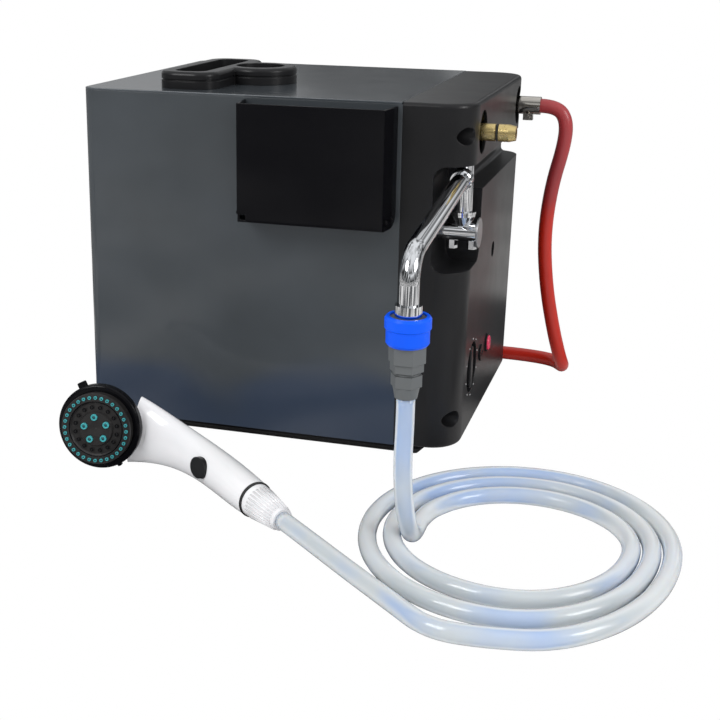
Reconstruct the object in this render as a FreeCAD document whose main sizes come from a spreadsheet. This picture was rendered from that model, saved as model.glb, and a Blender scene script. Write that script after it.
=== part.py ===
import FreeCAD, Part
import math
import os
import re
import Sketcher
from FreeCAD import Placement, Rotation, Vector

# Portable propane water heater: a box-shaped heater with a swivel tap, a gas hose and a hand shower.
# The origin is the centre of the base tray's rim on the floor, +Z is up, +X points to the front with
# the tap and the controls, and the exhaust side faces -Y. Every length is in millimetres.

doc = FreeCAD.newDocument("water_heater")
sheet = doc.addObject("Spreadsheet::Sheet", "sizes")

SIZES = {
    # Cabinet, tray and front cover
    "heater_length": 375,
    "heater_width": 310,
    "heater_height": 335,
    "tray_height": 12,
    "tray_inset": 8,
    "tray_rim": 12,
    "tray_floor": 3,
    "tray_front_gap": 37,
    "tray_chamfer": 7,
    "cover_depth": 64,
    "cover_seam": 1,
    "front_lean": 5,
    "front_corner": 30,
    "rear_corner": 10,
    "cover_wall": 3,
    "cover_edge": 4,
    "sheet_steel": 1.5,
    "floor_flange": 16,
    "top_sheet": 2,
    # Tap bay and spout slot in the front cover
    "bay_back": 153,
    "bay_side": 87,
    "bay_floor": 182,
    "slot_floor": 250,
    "slot_roof": 279,
    "slot_back": 165,
    "bay_corner": 12,
    # Deep round recesses for the cover screws
    "recess_bore": 8,
    "recess_seat": 150,
    "recess_wall": 2.5,
    "recess_side": 143,
    "recess_high": 306,
    "recess_low": 40,
    "recess_mid": 173,
    "screw_shank": 2.5,
    "screw_head": 5.5,
    "screw_head_height": 4,
    # Holes of the two pipe connections
    "port_height": 305,
    "port_bore": 20,
    "water_port": 102,
    "gas_port": 116,
    # Air slots in the rear wall and the exhaust window
    "air_slots": 10,
    "air_slot_width": 6,
    "air_slot_height": 60,
    "air_slot_floor": 60,
    "air_slot_pitch": 16,
    "window_rear": 18,
    "window_front": 80,
    "window_floor": 242,
    "window_roof": 318,
    "grille_slots": 7,
    "grille_slot": 5,
    "grille_margin": 8,
    # Exhaust hood
    "hood_rear": 25.5,
    "hood_front": 119.5,
    "hood_depth": 32,
    "hood_flare": 4.5,
    "hood_floor": 223,
    "hood_roof": 331,
    "hood_sheet": 2,
    "hood_corner": 14,
    "hood_notch": 8,
    "rivet_radius": 2.4,
    "rivet_height": 1.2,
    # Carry handle and round dish on the top
    "grip_rear": 121,
    "grip_width": 58,
    "grip_near": 136,
    "grip_length": 158,
    "grip_height": 16,
    "grip_corner": 20,
    "grip_slot_width": 32,
    "grip_slot_length": 136,
    "grip_wall": 10,
    "grip_slot_corner": 12,
    "grip_edge": 4,
    "groove_height": 7.2,
    "groove_width": 1.6,
    "groove_depth": 1.2,
    "well_depth": 46,
    "well_wall": 2,
    "dish_x": -48,
    "dish_y": -43,
    "dish_outer": 36,
    "dish_inner": 24,
    "dish_depth": 7,
    "dish_cap_radius": 19,
    "dish_cap_height": 3,
    # Tap
    "tap_x": 175,
    "tap_y": -120,
    "tap_height": 215,
    "tap_radius": 8.5,
    "tap_front": 189,
    "tap_disc_radius": 14,
    "tap_disc": 2,
    "tap_neck_top": 232,
    "tap_neck_radius": 11,
    "tap_spigot_radius": 5,
    "tap_spigot_height": 18,
    "plug_gap": 18,
    "plug_radius": 4.6,
    "plug_height": 8,
    # Spout and the hose connector on it
    "spout_gap": 0.3,
    "spigot_clearance": 0.06,
    "column_radius": 8,
    "column_top": 277,
    "column_flange": 11.5,
    "column_flange_height": 2,
    "spout_root": 268,
    "spout_fall": 7,
    "spout_reach": 220,
    "spout_radius": 8,
    "spout_bore": 6.5,
    "spout_bend": 24,
    "nut_radius": 10.5,
    "nut_start": 11,
    "nut_length": 12,
    "aerator_top": 203.5,
    "aerator_radius": 10.8,
    "aerator_height": 14,
    "coupler_top": 195,
    "coupler_radius": 18.4,
    "coupler_height": 23.5,
    "coupler_waist": 17.2,
    "coupler_band": 10.5,
    "insert_radius": 14.5,
    "insert_height": 9,
    "body_hex": 15,
    "body_hex_height": 14,
    "body_ring": 13.6,
    "body_ring_height": 7,
    "body_stub": 10.5,
    "body_stub_height": 2.6,
    "hose_nut_hex": 12.6,
    "hose_nut_hex_height": 9.7,
    "hose_nut_end": 9,
    "hose_nut_taper": 9.6,
    # Controls in a row on the front face
    "control_height": 75,
    "knob_y": -88,
    "knob_recess": 25,
    "knob_recess_depth": 12,
    "knob_radius": 23,
    "knob_base": 4,
    "knob_grip_width": 11,
    "knob_grip_height": 9,
    "knob_gap": 0.5,
    "spindle_radius": 3,
    "spindle_clearance": 0.05,
    "socket_y": -39,
    "socket_radius": 7,
    "socket_bore": 3,
    "button_y": -3,
    "button_radius": 7.6,
    "button_stand": 3.5,
    "button_gap": 0.4,
    "bezel_radius": 9.4,
    "bezel_height": 1.2,
    "switch_depth": 16,
    # Burner, heat exchanger and flue
    "stack_rear": 35,
    "stack_front": 85,
    "stack_half_width": 60,
    "burner_height": 50,
    "chamber_top": 200,
    "exchanger_top": 240,
    "flue_top": 324,
    "fin_count": 10,
    "fin_thickness": 1.6,
    "water_pipe": 6,
    "bar_count": 6,
    "chassis_front": 118,
    "chassis_sheet": 2,
    "pipe_radius": 5,
    "pipe_bend": 12,
    "pipe_lane": 101,
    # Brass water connector
    "nipple_radius": 8,
    "nipple_end": 217,
    "nipple_groove": 2.3,
    "nipple_tip": 6.6,
    "nipple_bore": 4.5,
    "ring_at": 200,
    "ring_width": 3,
    # Gas connector, clamp and hose
    "barb_radius": 5.2,
    "ferrule_radius": 9.4,
    "ferrule_start": 176,
    "gas_hose_start": 211,
    "gas_hose_radius": 7.5,
    "gas_turns": 2,
    "gas_coil_x": 45,
    "gas_coil_y": 272,
    "gas_coil_outer": 91,
    "gas_coil_step": 16,
    "gas_coil_tuck": 9,
    "union_hex": 14,
    "union_length": 22,
    "union_bore": 10.9,
    "union_tail": 9,
    "union_tail_length": 16,
    # Shower hose
    "shower_hose_radius": 7.5,
    "loop_x": 266,
    "loop_y": -308,
    "loop_left": 84,
    "loop_right": 88,
    "loop_far": 84,
    "loop_near": 106,
    "loop_left_step": 19.5,
    "loop_step": 16,
    "loop_far_step": 23,
    "loop_near_step": 30,
    "loop_turns": 2,
    "loop_start": 9,
    # Hand shower
    "hand_x": 77.1,
    "hand_y": -349.5,
    "hand_z": 14,
    "hand_yaw": 141.7,
    "hand_pitch": -3.75,
    "hand_roll": 12.3,
    "hand_nut_end": 9.5,
    "hand_nut_root": 14.6,
    "hand_nut_length": 40,
    "hand_ring": 15.9,
    "hand_ring_width": 3,
    "head_x": 217.5,
    "head_y": 56.8,
    "head_angle": 43,
    "head_radius": 37.5,
    "head_depth": 17,
    "selector_radius": 39,
    "selector_inner": 33,
    "selector_height": 10,
    "selector_gap": 0.1,
    "face_height": 15.5,
    "face_rim": 2,
    "jet_ring": 29.2,
    "jet_count": 32,
    "jet_radius": 1.4,
    "jet_height": 1.4,
    "mist_ring": 20,
    "mist_count": 16,
    "pulse_ring": 11,
    "pulse_count": 5,
    "pulse_radius": 3,
    "trigger_at": 112,
    "trigger_half_length": 12,
    "trigger_half_width": 9,
    "trigger_skin": 14,
    "trigger_stand": 2.2,
    "trigger_depth": 8,
    "trigger_gap": 0.4,
}

for row, (alias, value) in enumerate(SIZES.items(), start=1):
    sheet.set(f"A{row}", alias.replace("_", " "))
    sheet.set(f"B{row}", str(value))
    sheet.setAlias(f"B{row}", alias)
doc.recompute()

WORDS = re.compile(r"\b(" + "|".join(sorted(SIZES, key=len, reverse=True)) + r")\b")
NODES = {}


def num(text):
    """The value in millimetres or degrees of an expression in the sheet's words."""
    return float(sheet.evalExpression(str(text)))


def bind(thing, prop, text):
    """Tie a property to the sheet."""
    thing.setExpression(prop, WORDS.sub(r"sizes.\1", str(text)))


def keep(name, thing):
    """Name an object as a piece of the heater."""
    thing.Label = name
    NODES[name] = thing
    return thing


def place(thing, at, turn=None):
    if turn is not None:
        thing.Placement = Placement(Vector(0, 0, 0), turn)
    for axis, text in zip("xyz", at):
        bind(thing, f"Placement.Base.{axis}", text)


ALONG = {
    "z": Rotation(),
    "x": Rotation(Vector(0, 1, 0), 90),
    "y": Rotation(Vector(1, 0, 0), -90),
}


def cylinder(name, radius, height, at, axis="z"):
    rod = doc.addObject("Part::Cylinder", name)
    bind(rod, "Radius", radius)
    bind(rod, "Height", height)
    place(rod, at, ALONG[axis])
    return rod


def cone(name, radius_1, radius_2, height, at, axis="z"):
    taper = doc.addObject("Part::Cone", name)
    bind(taper, "Radius1", radius_1)
    bind(taper, "Radius2", radius_2)
    bind(taper, "Height", height)
    place(taper, at, ALONG[axis])
    return taper


def block(name, low, high):
    """A box between two corners, each given by three expressions."""
    brick = doc.addObject("Part::Box", name)
    for prop, start, end in zip(("Length", "Width", "Height"), low, high):
        bind(brick, prop, f"({end}) - ({start})")
    place(brick, low)
    return brick


def hexagon(name, radius, height, at, axis="z"):
    """A hexagonal bar whose corners lie at the radius."""
    bar = doc.addObject("Part::Prism", name)
    bar.Polygon = 6
    bind(bar, "Circumradius", radius)
    bind(bar, "Height", height)
    place(bar, at, ALONG[axis])
    return bar


def fuse(name, *parts):
    joined = doc.addObject("Part::MultiFuse", name)
    joined.Shapes = list(parts)
    joined.Refine = True
    return joined


def cut(name, base, *tools):
    """Cut the tools from the base, and see that they take something away."""
    tool = tools[0] if len(tools) == 1 else fuse(f"{name}_tools", *tools)
    result = doc.addObject("Part::Cut", name)
    result.Base = base
    result.Tool = tool
    result.Refine = True
    doc.recompute()
    assert result.Shape.Volume < base.Shape.Volume - 1e-3, f"{name}: nothing was cut"
    return result


def common(name, first, second):
    result = doc.addObject("Part::Common", name)
    result.Base = first
    result.Tool = second
    result.Refine = True
    return result


def new_body(name):
    return doc.addObject("PartDesign::Body", name)


def origin_plane(body, role):
    return next(f for f in body.Origin.OriginFeatures if f.Role == role)


def start_sketch(body, role, name, offset):
    sketch = body.newObject("Sketcher::SketchObject", name)
    sketch.AttachmentSupport = [(origin_plane(body, role), "")]
    sketch.MapMode = "FlatFace"
    bind(sketch, "AttachmentOffset.Base.z", offset)
    return sketch


def tie_point(sketch, edge, end, point, place_now):
    """Hold one sketch point at two expressions measured from the origin."""
    for kind, text, value in zip(("DistanceX", "DistanceY"), point, place_now):
        index = sketch.addConstraint(Sketcher.Constraint(kind, -1, 1, edge, end, value))
        bind(sketch, f"Constraints[{index}]", text)


def outline(body, role, name, points, offset="0"):
    """A closed outline of straight lines through points given as pairs of expressions."""
    sketch = start_sketch(body, role, name, offset)
    spots = [Vector(num(x), num(y), 0) for x, y in points]
    count = len(spots)
    sketch.addGeometry([Part.LineSegment(spots[i], spots[(i + 1) % count]) for i in range(count)])
    for i in range(count):
        sketch.addConstraint(Sketcher.Constraint("Coincident", i, 2, (i + 1) % count, 1))
    for i, point in enumerate(points):
        tie_point(sketch, i, 1, point, (spots[i].x, spots[i].y))
    return sketch


def ring_sketch(body, role, name, centre, radius, offset="0"):
    sketch = start_sketch(body, role, name, offset)
    spot = Vector(num(centre[0]), num(centre[1]), 0)
    sketch.addGeometry(Part.Circle(spot, Vector(0, 0, 1), num(radius)))
    tie_point(sketch, 0, 3, centre, (spot.x, spot.y))
    index = sketch.addConstraint(Sketcher.Constraint("Radius", 0, num(radius)))
    bind(sketch, f"Constraints[{index}]", radius)
    return sketch


def rectangle(x0, x1, y0, y1):
    return [(x0, y0), (x1, y0), (x1, y1), (x0, y1)]


def pad(body, sketch, name, length, middle=False, back=False):
    feature = body.newObject("PartDesign::Pad", name)
    feature.Profile = sketch
    feature.SideType = "Symmetric" if middle else "One side"
    feature.Reversed = back
    bind(feature, "Length", length)
    doc.recompute()
    return feature


def pocket(body, sketch, name, length, back=False, middle=False):
    before = body.Shape.Volume
    feature = body.newObject("PartDesign::Pocket", name)
    feature.Profile = sketch
    feature.SideType = "Symmetric" if middle else "One side"
    feature.Reversed = back
    bind(feature, "Length", length)
    doc.recompute()
    assert feature.Shape.Volume < before - 1e-3, f"{name}: nothing was cut"
    return feature


def revolve(body, sketch, name, axis="V_Axis"):
    feature = body.newObject("PartDesign::Revolution", name)
    feature.Profile = sketch
    feature.ReferenceAxis = (sketch, [axis])
    feature.Angle = 360
    doc.recompute()
    return feature


def repeat(body, feature, name, sketch, axis, count, pitch):
    """Repeat a feature in a row of the given count and pitch."""
    pattern = body.newObject("PartDesign::LinearPattern", name)
    pattern.Originals = [feature]
    pattern.Direction = (sketch, [axis])
    bind(pattern, "Occurrences", count)
    bind(pattern, "Length", f"({pitch}) * ({count} - 1)")
    body.Tip = pattern
    doc.recompute()
    return pattern


def soften(body, name, kind, size, wanted):
    """Round or bevel the edges that the test picks."""
    tip = body.Tip
    names = [f"Edge{i}" for i, edge in enumerate(tip.Shape.Edges, start=1) if wanted(edge)]
    assert names, f"{name}: no edge was picked"
    feature = body.newObject(f"PartDesign::{kind}", name)
    feature.Base = (tip, names)
    bind(feature, "Radius" if kind == "Fillet" else "Size", size)
    doc.recompute()
    return feature


def upright(edge):
    """True for an edge that stands on end."""
    box = edge.BoundBox
    return box.ZLength > 0.9 * edge.Length and len(edge.Vertexes) == 2


def near(value, target):
    return abs(value - target) < 0.05


def rigid(name, shape, frame=None):
    """A piece whose shape is worked out here, in its own frame where one is given."""
    thing = doc.addObject("Part::Feature", name)
    thing.Shape = shape
    if frame is not None:
        thing.Placement = frame
    return thing


# Names for places that many pieces share
REAR = "(-heater_length / 2)"
FRONT = "(heater_length / 2)"
SIDE = "(heater_width / 2)"
SEAM = "(heater_length / 2 - cover_depth)"
INNER = "(heater_width / 2 - sheet_steel)"
CHASSIS_BACK = "(chassis_front - chassis_sheet)"
DECK = "(heater_height - top_sheet)"


def make_tray():
    """A pressed tray that stands on its flat rim and carries the cabinet."""
    body = new_body("tray_body")
    front = f"({FRONT} - tray_front_gap)"
    half = f"({SIDE} - tray_inset)"
    rear = f"({REAR} + tray_inset)"
    base = outline(body, "XY_Plane", "tray_outline", rectangle(rear, front, f"-{half}", half))
    pad(body, base, "tray_block", "tray_height")
    soften(body, "tray_corners", "Fillet", "rear_corner", upright)
    hollow = rectangle(
        f"{rear} + tray_rim", f"{front} - tray_rim - tray_chamfer",
        f"-{half} + tray_rim", f"{half} - tray_rim",
    )
    under = outline(body, "XY_Plane", "tray_hollow_outline", hollow)
    pocket(body, under, "tray_hollow", "tray_height - tray_floor", back=True)
    low_front = num(front)
    soften(
        body, "tray_front_bevel", "Chamfer", "tray_chamfer",
        lambda e: near(e.BoundBox.XMin, low_front) and near(e.BoundBox.ZMax, 0) and e.BoundBox.YLength > 50,
    )
    keep("base_tray", body)


def make_cabinet():
    """The sheet steel wrap: two sides and a rear wall, open at the top and the front."""
    body = new_body("cabinet_body")
    wrap = [
        (SEAM, f"-{SIDE}"), (REAR, f"-{SIDE}"), (REAR, SIDE), (SEAM, SIDE),
        (SEAM, INNER), (f"{REAR} + sheet_steel", INNER),
        (f"{REAR} + sheet_steel", f"-{INNER}"), (SEAM, f"-{INNER}"),
    ]
    plan = outline(body, "XY_Plane", "cabinet_plan", wrap, "tray_height")
    pad(body, plan, "cabinet_wrap", f"{DECK} - tray_height")
    flange = f"({INNER} - floor_flange)"
    lip = [
        (SEAM, f"-{SIDE}"), (REAR, f"-{SIDE}"), (REAR, SIDE), (SEAM, SIDE),
        (SEAM, flange), (f"{REAR} + sheet_steel + floor_flange", flange),
        (f"{REAR} + sheet_steel + floor_flange", f"-{flange}"), (SEAM, f"-{flange}"),
    ]
    foot = outline(body, "XY_Plane", "cabinet_foot_plan", lip, "tray_height")
    pad(body, foot, "cabinet_foot", "sheet_steel")
    rear = num(REAR)
    inside = rear + num("sheet_steel")
    soften(
        body, "cabinet_outer_bends", "Fillet", "rear_corner",
        lambda e: upright(e) and near(e.BoundBox.XMin, rear) and near(e.BoundBox.XMax, rear),
    )
    soften(
        body, "cabinet_inner_bends", "Fillet", "rear_corner - sheet_steel",
        lambda e: upright(e) and near(e.BoundBox.XMin, inside) and near(e.BoundBox.XMax, inside),
    )
    window = outline(
        body, "XZ_Plane", "window_outline",
        rectangle("-window_rear", "window_front", "window_floor", "window_roof"), SIDE,
    )
    pocket(body, window, "exhaust_window", "sheet_steel * 2", middle=True)
    first = "(-(air_slots - 1) * air_slot_pitch / 2)"
    slot = outline(
        body, "YZ_Plane", "air_slot_outline",
        rectangle(
            f"{first} - air_slot_width / 2", f"{first} + air_slot_width / 2",
            "air_slot_floor", "air_slot_floor + air_slot_height",
        ),
        f"{REAR} - 1",
    )
    slit = pocket(body, slot, "air_slot", "sheet_steel + 2", back=True)
    repeat(body, slit, "air_slot_row", slot, "H_Axis", "air_slots", "air_slot_pitch")
    keep("cabinet_shell", body)


def make_top():
    """The glossy top plate with its openings for the hand well and the dish."""
    body = new_body("top_body")
    plan = outline(
        body, "XY_Plane", "top_plan", rectangle(REAR, f"{SEAM} - cover_seam", f"-{SIDE}", SIDE), DECK
    )
    pad(body, plan, "top_plate", "top_sheet")
    rear = num(REAR)
    soften(
        body, "top_corners", "Fillet", "rear_corner",
        lambda e: upright(e) and near(e.BoundBox.XMin, rear),
    )
    opening = outline(
        body, "XY_Plane", "well_opening_outline",
        rectangle(*well_edges("well_wall")), "heater_height",
    )
    pocket(body, opening, "well_opening", "top_sheet * 2", middle=True)
    top = num("heater_height")
    soften(
        body, "top_edge", "Fillet", "top_sheet / 3",
        lambda e: near(e.BoundBox.ZMin, top) and near(e.BoundBox.ZMax, top) and outer_edge(e),
    )
    keep("top_panel", body)


def outer_edge(edge):
    """True for the outline of the top plate, and not for its opening."""
    box = edge.BoundBox
    side = num(SIDE)
    at_side = near(abs(box.YMin), side) or near(abs(box.YMax), side)
    return at_side or near(box.XMin, num(REAR)) or near(box.XMax, num(f"{SEAM} - cover_seam"))


def well_edges(margin):
    """The hand well's rectangle, grown by a margin on each side."""
    rear = f"(-grip_rear + (grip_width - grip_slot_width) / 2 - {margin})"
    near_end = f"(-grip_near + grip_wall - {margin})"
    return (
        rear, f"({rear} + grip_slot_width + 2 * {margin})",
        near_end, f"({near_end} + grip_slot_length + 2 * {margin})",
    )


def cover_form(name, inset, depth):
    """The front cover's rounded block, drawn in by an inset on every side but the rear."""
    body = new_body(name)
    profile = [
        (depth, f"tray_height + {inset}"),
        (f"{FRONT} - front_lean - {inset}", f"tray_height + {inset}"),
        (f"{FRONT} - {inset}", f"heater_height - {inset}"),
        (depth, f"heater_height - {inset}"),
    ]
    side = outline(body, "XZ_Plane", f"{name}_profile", profile)
    pad(body, side, f"{name}_block", f"heater_width - 2 * {inset}", middle=True)
    front = num(f"{FRONT} - front_lean - {inset}")
    soften(
        body, f"{name}_corners", "Fillet", f"front_corner - {inset}",
        lambda e: upright(e) and e.BoundBox.XMin > front - 0.1,
    )
    return body


def front_opening(name, low, high, back):
    """A block that opens the cover's face between two corners given in Y and Z."""
    body = new_body(name)
    sketch = outline(
        body, "YZ_Plane", f"{name}_outline", rectangle(low[0], high[0], low[1], high[1]), back
    )
    pad(body, sketch, f"{name}_block", f"{FRONT} + front_corner - ({back})")
    return body


def recess_places():
    """The five deep screw recesses: four at the corners and one in the middle."""
    corners = [(side, height) for side in ("-recess_side", "recess_side")
               for height in ("recess_low", "recess_high")]
    return corners + [("0", "recess_mid")]


def make_cover():
    """The moulded front cover with its tap bay, spout slot, screw recesses and holes."""
    outer = cover_form("cover_outer", "0", SEAM)
    top = num("heater_height")
    bottom = num("tray_height")
    seam = num(SEAM)
    soften(
        outer, "cover_rims", "Fillet", "cover_edge",
        lambda e: not upright(e) and e.BoundBox.XMax > seam + 1 and e.BoundBox.ZLength < 0.1
        and (near(e.BoundBox.ZMin, top) or near(e.BoundBox.ZMin, bottom)),
    )
    bay = front_opening("tap_bay", (f"-{SIDE} - 10", "bay_floor"), ("-bay_side", "slot_roof"), "bay_back")
    side = num("-bay_side")
    floor = num("bay_floor")
    back = num("bay_back")
    soften(
        bay, "tap_bay_rounds", "Fillet", "bay_corner",
        lambda e: (e.BoundBox.XLength > 10 and near(e.BoundBox.YMin, side) and near(e.BoundBox.ZMin, floor))
        or (near(e.BoundBox.XMax, back) and e.BoundBox.YLength > 10),
    )
    slot = front_opening(
        "spout_slot", (f"-{SIDE} - 10", "slot_floor"), (f"{SIDE} + 10", "slot_roof"), "slot_back"
    )
    slot_back = num("slot_back")
    soften(
        slot, "spout_slot_rounds", "Fillet", "cover_edge",
        lambda e: near(e.BoundBox.XMax, slot_back) and e.BoundBox.YLength > 10,
    )
    bay_shell = block(
        "tap_bay_shell", ("bay_back - cover_wall", f"-{SIDE}", "bay_floor - cover_wall"),
        (FRONT, "-bay_side + cover_wall", "slot_roof + cover_wall"),
    )
    slot_shell = block(
        "spout_slot_shell", ("slot_back - cover_wall", f"-{SIDE}", "slot_floor - cover_wall"),
        (FRONT, SIDE, "slot_roof + cover_wall"),
    )
    dial_shell = cylinder(
        "dial_shell", "knob_recess + cover_wall", "front_corner",
        (f"{FRONT} - front_lean - knob_recess_depth - cover_wall", "knob_y", "control_height"), "x",
    )
    bosses = [
        cylinder(f"recess_boss_{i}", "recess_bore + recess_wall", "cover_depth", (SEAM, y, z), "x")
        for i, (y, z) in enumerate(recess_places())
    ]
    cavity = cut(
        "cover_cavity", cover_form("cover_inner", "cover_wall", f"{SEAM} - 1"),
        bay_shell, slot_shell, dial_shell, *bosses,
    )
    holes = [bay, slot, cavity]
    for i, (y, z) in enumerate(recess_places()):
        holes.append(
            cylinder(f"recess_{i}", "recess_bore", "cover_depth", ("recess_seat", y, z), "x")
        )
        holes.append(
            cylinder(f"screw_hole_{i}", "screw_shank + 0.2", "cover_depth", (f"{SEAM} - 1", y, z), "x")
        )
    for name, y in (("water_port_hole", "-water_port"), ("gas_port_hole", "gas_port")):
        holes.append(cylinder(name, "port_bore", "cover_depth", ("slot_back", y, "port_height"), "x"))
    holes.append(
        cylinder(
            "dial_recess", "knob_recess", "cover_depth",
            (f"{FRONT} - front_lean - knob_recess_depth", "knob_y", "control_height"), "x",
        )
    )
    for name, radius, y in (
        ("spindle_hole", "spindle_radius + 0.6", "knob_y"),
        ("socket_hole", "socket_radius + 0.1", "socket_y"),
        ("button_hole", "button_radius + button_gap + 0.6", "button_y"),
    ):
        holes.append(cylinder(name, radius, "cover_depth", ("slot_back - 20", y, "control_height"), "x"))
    holes.append(
        cylinder("tap_hole", "tap_radius + 0.3", "20", ("bay_back - 10", "tap_y", "tap_height"), "x")
    )
    keep("front_cover", cut("cover_moulding", outer, *holes))


def make_hood():
    """The bent sheet hood that throws the exhaust upwards, open at the top."""
    side = new_body("hood_side_form")
    wall = f"(-{SIDE} - hood_depth)"
    profile = outline(
        side, "YZ_Plane", "hood_side_outline",
        rectangle(wall, f"-{SIDE}", "hood_floor", "hood_roof"), "-hood_rear",
    )
    pad(side, profile, "hood_side_block", "hood_front + hood_rear")
    low = num("hood_floor")
    panel = num(f"-{SIDE}")
    soften(
        side, "hood_side_round", "Fillet", "hood_corner",
        lambda e: e.BoundBox.XLength > 50 and near(e.BoundBox.ZMax, low) and near(e.BoundBox.YMin, panel),
    )
    front_low = num(wall)
    soften(
        side, "hood_bend", "Fillet", "hood_sheet * 1.5",
        lambda e: e.BoundBox.XLength > 50 and near(e.BoundBox.ZMax, low) and near(e.BoundBox.YMin, front_low),
    )
    plan = new_body("hood_plan_form")
    flared = [
        ("-hood_rear + hood_flare", wall), ("hood_front - hood_flare", wall),
        ("hood_front", f"-{SIDE}"), ("-hood_rear", f"-{SIDE}"),
    ]
    top = outline(plan, "XY_Plane", "hood_plan_outline", flared, "hood_floor")
    pad(plan, top, "hood_plan_block", "hood_roof - hood_floor")
    hollow = new_body("hood_hollow_form")
    inner = [
        ("-hood_rear + hood_flare + hood_sheet", f"{wall} + hood_sheet"),
        ("hood_front - hood_flare - hood_sheet", f"{wall} + hood_sheet"),
        ("hood_front - hood_sheet", f"-{SIDE} + 1"),
        ("-hood_rear + hood_sheet", f"-{SIDE} + 1"),
    ]
    inside = outline(hollow, "XY_Plane", "hood_hollow_outline", inner, "hood_floor + hood_sheet")
    pad(hollow, inside, "hood_hollow_block", "hood_roof - hood_floor")
    notch = block(
        "hood_notch_block", ("-hood_rear - 1", f"{wall} - 1", "hood_floor - 1"),
        ("-hood_rear + hood_flare + hood_notch", f"{wall} + hood_sheet + 1", "hood_floor + hood_notch"),
    )
    solid = common("hood_solid", side, plan)
    keep("exhaust_hood", cut("hood_sheet_metal", solid, hollow, notch))
    heads = []
    for i, (height, depth) in enumerate((("hood_floor + 8", 8), ("hood_floor + 8", 22))):
        for x, turn in (("hood_front - hood_flare", 1), ("-hood_rear + hood_flare", -1)):
            y = num(f"-{SIDE} - hood_depth") + depth
            share = depth / num("hood_depth")
            foot = num(x) + turn * num("hood_flare") * share
            rim = Part.makeSphere(num("rivet_radius"))
            rim = rim.common(Part.makeBox(20, 20, 20, Vector(0, -10, -10)))
            slope = math.degrees(math.atan2(num("hood_flare"), num("hood_depth")))
            swing = Rotation(Vector(0, 0, 1), -slope if turn > 0 else 180 + slope)
            rim.Placement = Placement(Vector(foot, y, num(height)), swing)
            heads.append(rim)
    keep("hood_rivets", rigid("hood_rivet_heads", Part.Compound(heads)))


def make_grille():
    """A slotted plate behind the exhaust window."""
    body = new_body("grille_body")
    sheet_outline = rectangle(
        "-window_rear - grille_margin", "window_front + grille_margin / 2",
        "window_floor - grille_margin", "window_roof + grille_margin / 2",
    )
    plate = outline(body, "XZ_Plane", "grille_outline", sheet_outline, f"{INNER} - sheet_steel")
    pad(body, plate, "grille_plate", "sheet_steel")
    pitch = "((window_roof - window_floor - 2 * grille_slot) / (grille_slots - 1))"
    slot = outline(
        body, "XZ_Plane", "grille_slot_outline",
        rectangle(
            "-window_rear + grille_margin", "window_front - grille_margin",
            "window_floor + grille_slot / 2", "window_floor + grille_slot * 3 / 2",
        ),
        INNER,
    )
    slit = pocket(body, slot, "grille_slot_cut", "sheet_steel * 3", middle=True)
    repeat(body, slit, "grille_slot_rows", slot, "V_Axis", "grille_slots", pitch)
    keep("exhaust_grille", body)


def make_handle():
    """The moulded hand grip and dish on the top, the well below it, and the dish's cap."""
    body = new_body("grip_body")
    plan = rectangle("-grip_rear", "-grip_rear + grip_width", "-grip_near", "-grip_near + grip_length")
    base = outline(body, "XY_Plane", "grip_plan", plan, "heater_height")
    pad(body, base, "grip_block", "grip_height")
    soften(body, "grip_corners", "Fillet", "grip_corner", upright)
    disc = cylinder("dish_block", "dish_outer", "grip_height", ("dish_x", "dish_y", "heater_height"))
    raised = fuse("grip_and_dish", body, disc)
    doc.recompute()
    top = num("heater_height + grip_height")
    rims = [
        i for i, e in enumerate(raised.Shape.Edges, start=1)
        if near(e.BoundBox.ZMin, top) and near(e.BoundBox.ZMax, top)
    ]
    rounded = doc.addObject("Part::Fillet", "grip_rounded")
    rounded.Base = raised
    rounded.Edges = [(i, num("grip_edge"), num("grip_edge")) for i in rims]
    doc.recompute()
    slot = new_body("grip_slot_form")
    hole = outline(slot, "XY_Plane", "grip_slot_outline", rectangle(*well_edges("0")), "heater_height - 1")
    pad(slot, hole, "grip_slot_block", "grip_height + 2")
    soften(slot, "grip_slot_corners", "Fillet", "grip_slot_corner", upright)
    dish = cylinder(
        "dish_hollow", "dish_inner", "dish_depth + 1",
        ("dish_x", "dish_y", "heater_height + grip_height - dish_depth"),
    )
    groove = groove_ring(raised.Shape)
    keep("handle_grip", cut("grip_moulding", rounded, slot, dish, groove))
    cap = new_body("cap_body")
    seat = ring_sketch(
        cap, "XY_Plane", "cap_outline", ("dish_x", "dish_y"), "dish_cap_radius",
        "heater_height + grip_height - dish_depth",
    )
    pad(cap, seat, "cap_disc", "dish_cap_height")
    cap_top = num("heater_height + grip_height - dish_depth + dish_cap_height")
    soften(
        cap, "cap_edge", "Fillet", "dish_cap_height / 3",
        lambda e: near(e.BoundBox.ZMin, cap_top) and near(e.BoundBox.ZMax, cap_top),
    )
    keep("dish_cap", cap)
    well = new_body("well_body")
    outside = outline(
        well, "XY_Plane", "well_outline", rectangle(*well_edges("well_wall")), "heater_height - well_depth"
    )
    pad(well, outside, "well_block", "well_depth")
    inside = outline(
        well, "XY_Plane", "well_inside_outline", rectangle(*well_edges("0")), "heater_height"
    )
    pocket(well, inside, "well_inside", "well_depth - well_wall")
    soften(
        well, "well_corners", "Fillet", "well_wall",
        lambda e: upright(e) and e.Length > num("well_depth") - 0.1,
    )
    keep("handle_well", well)


def groove_ring(shape):
    """The narrow groove that runs round the grip and the dish, half way up."""
    level = num("heater_height + groove_height")
    wires = shape.slice(Vector(0, 0, 1), level)
    plate = Part.Face(wires[0])
    depth = num("groove_depth")
    inner = plate.makeOffset2D(-depth)
    outer = plate.makeOffset2D(depth)
    ring = outer.cut(inner).extrude(Vector(0, 0, num("groove_width")))
    return rigid("grip_groove", ring)


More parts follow.
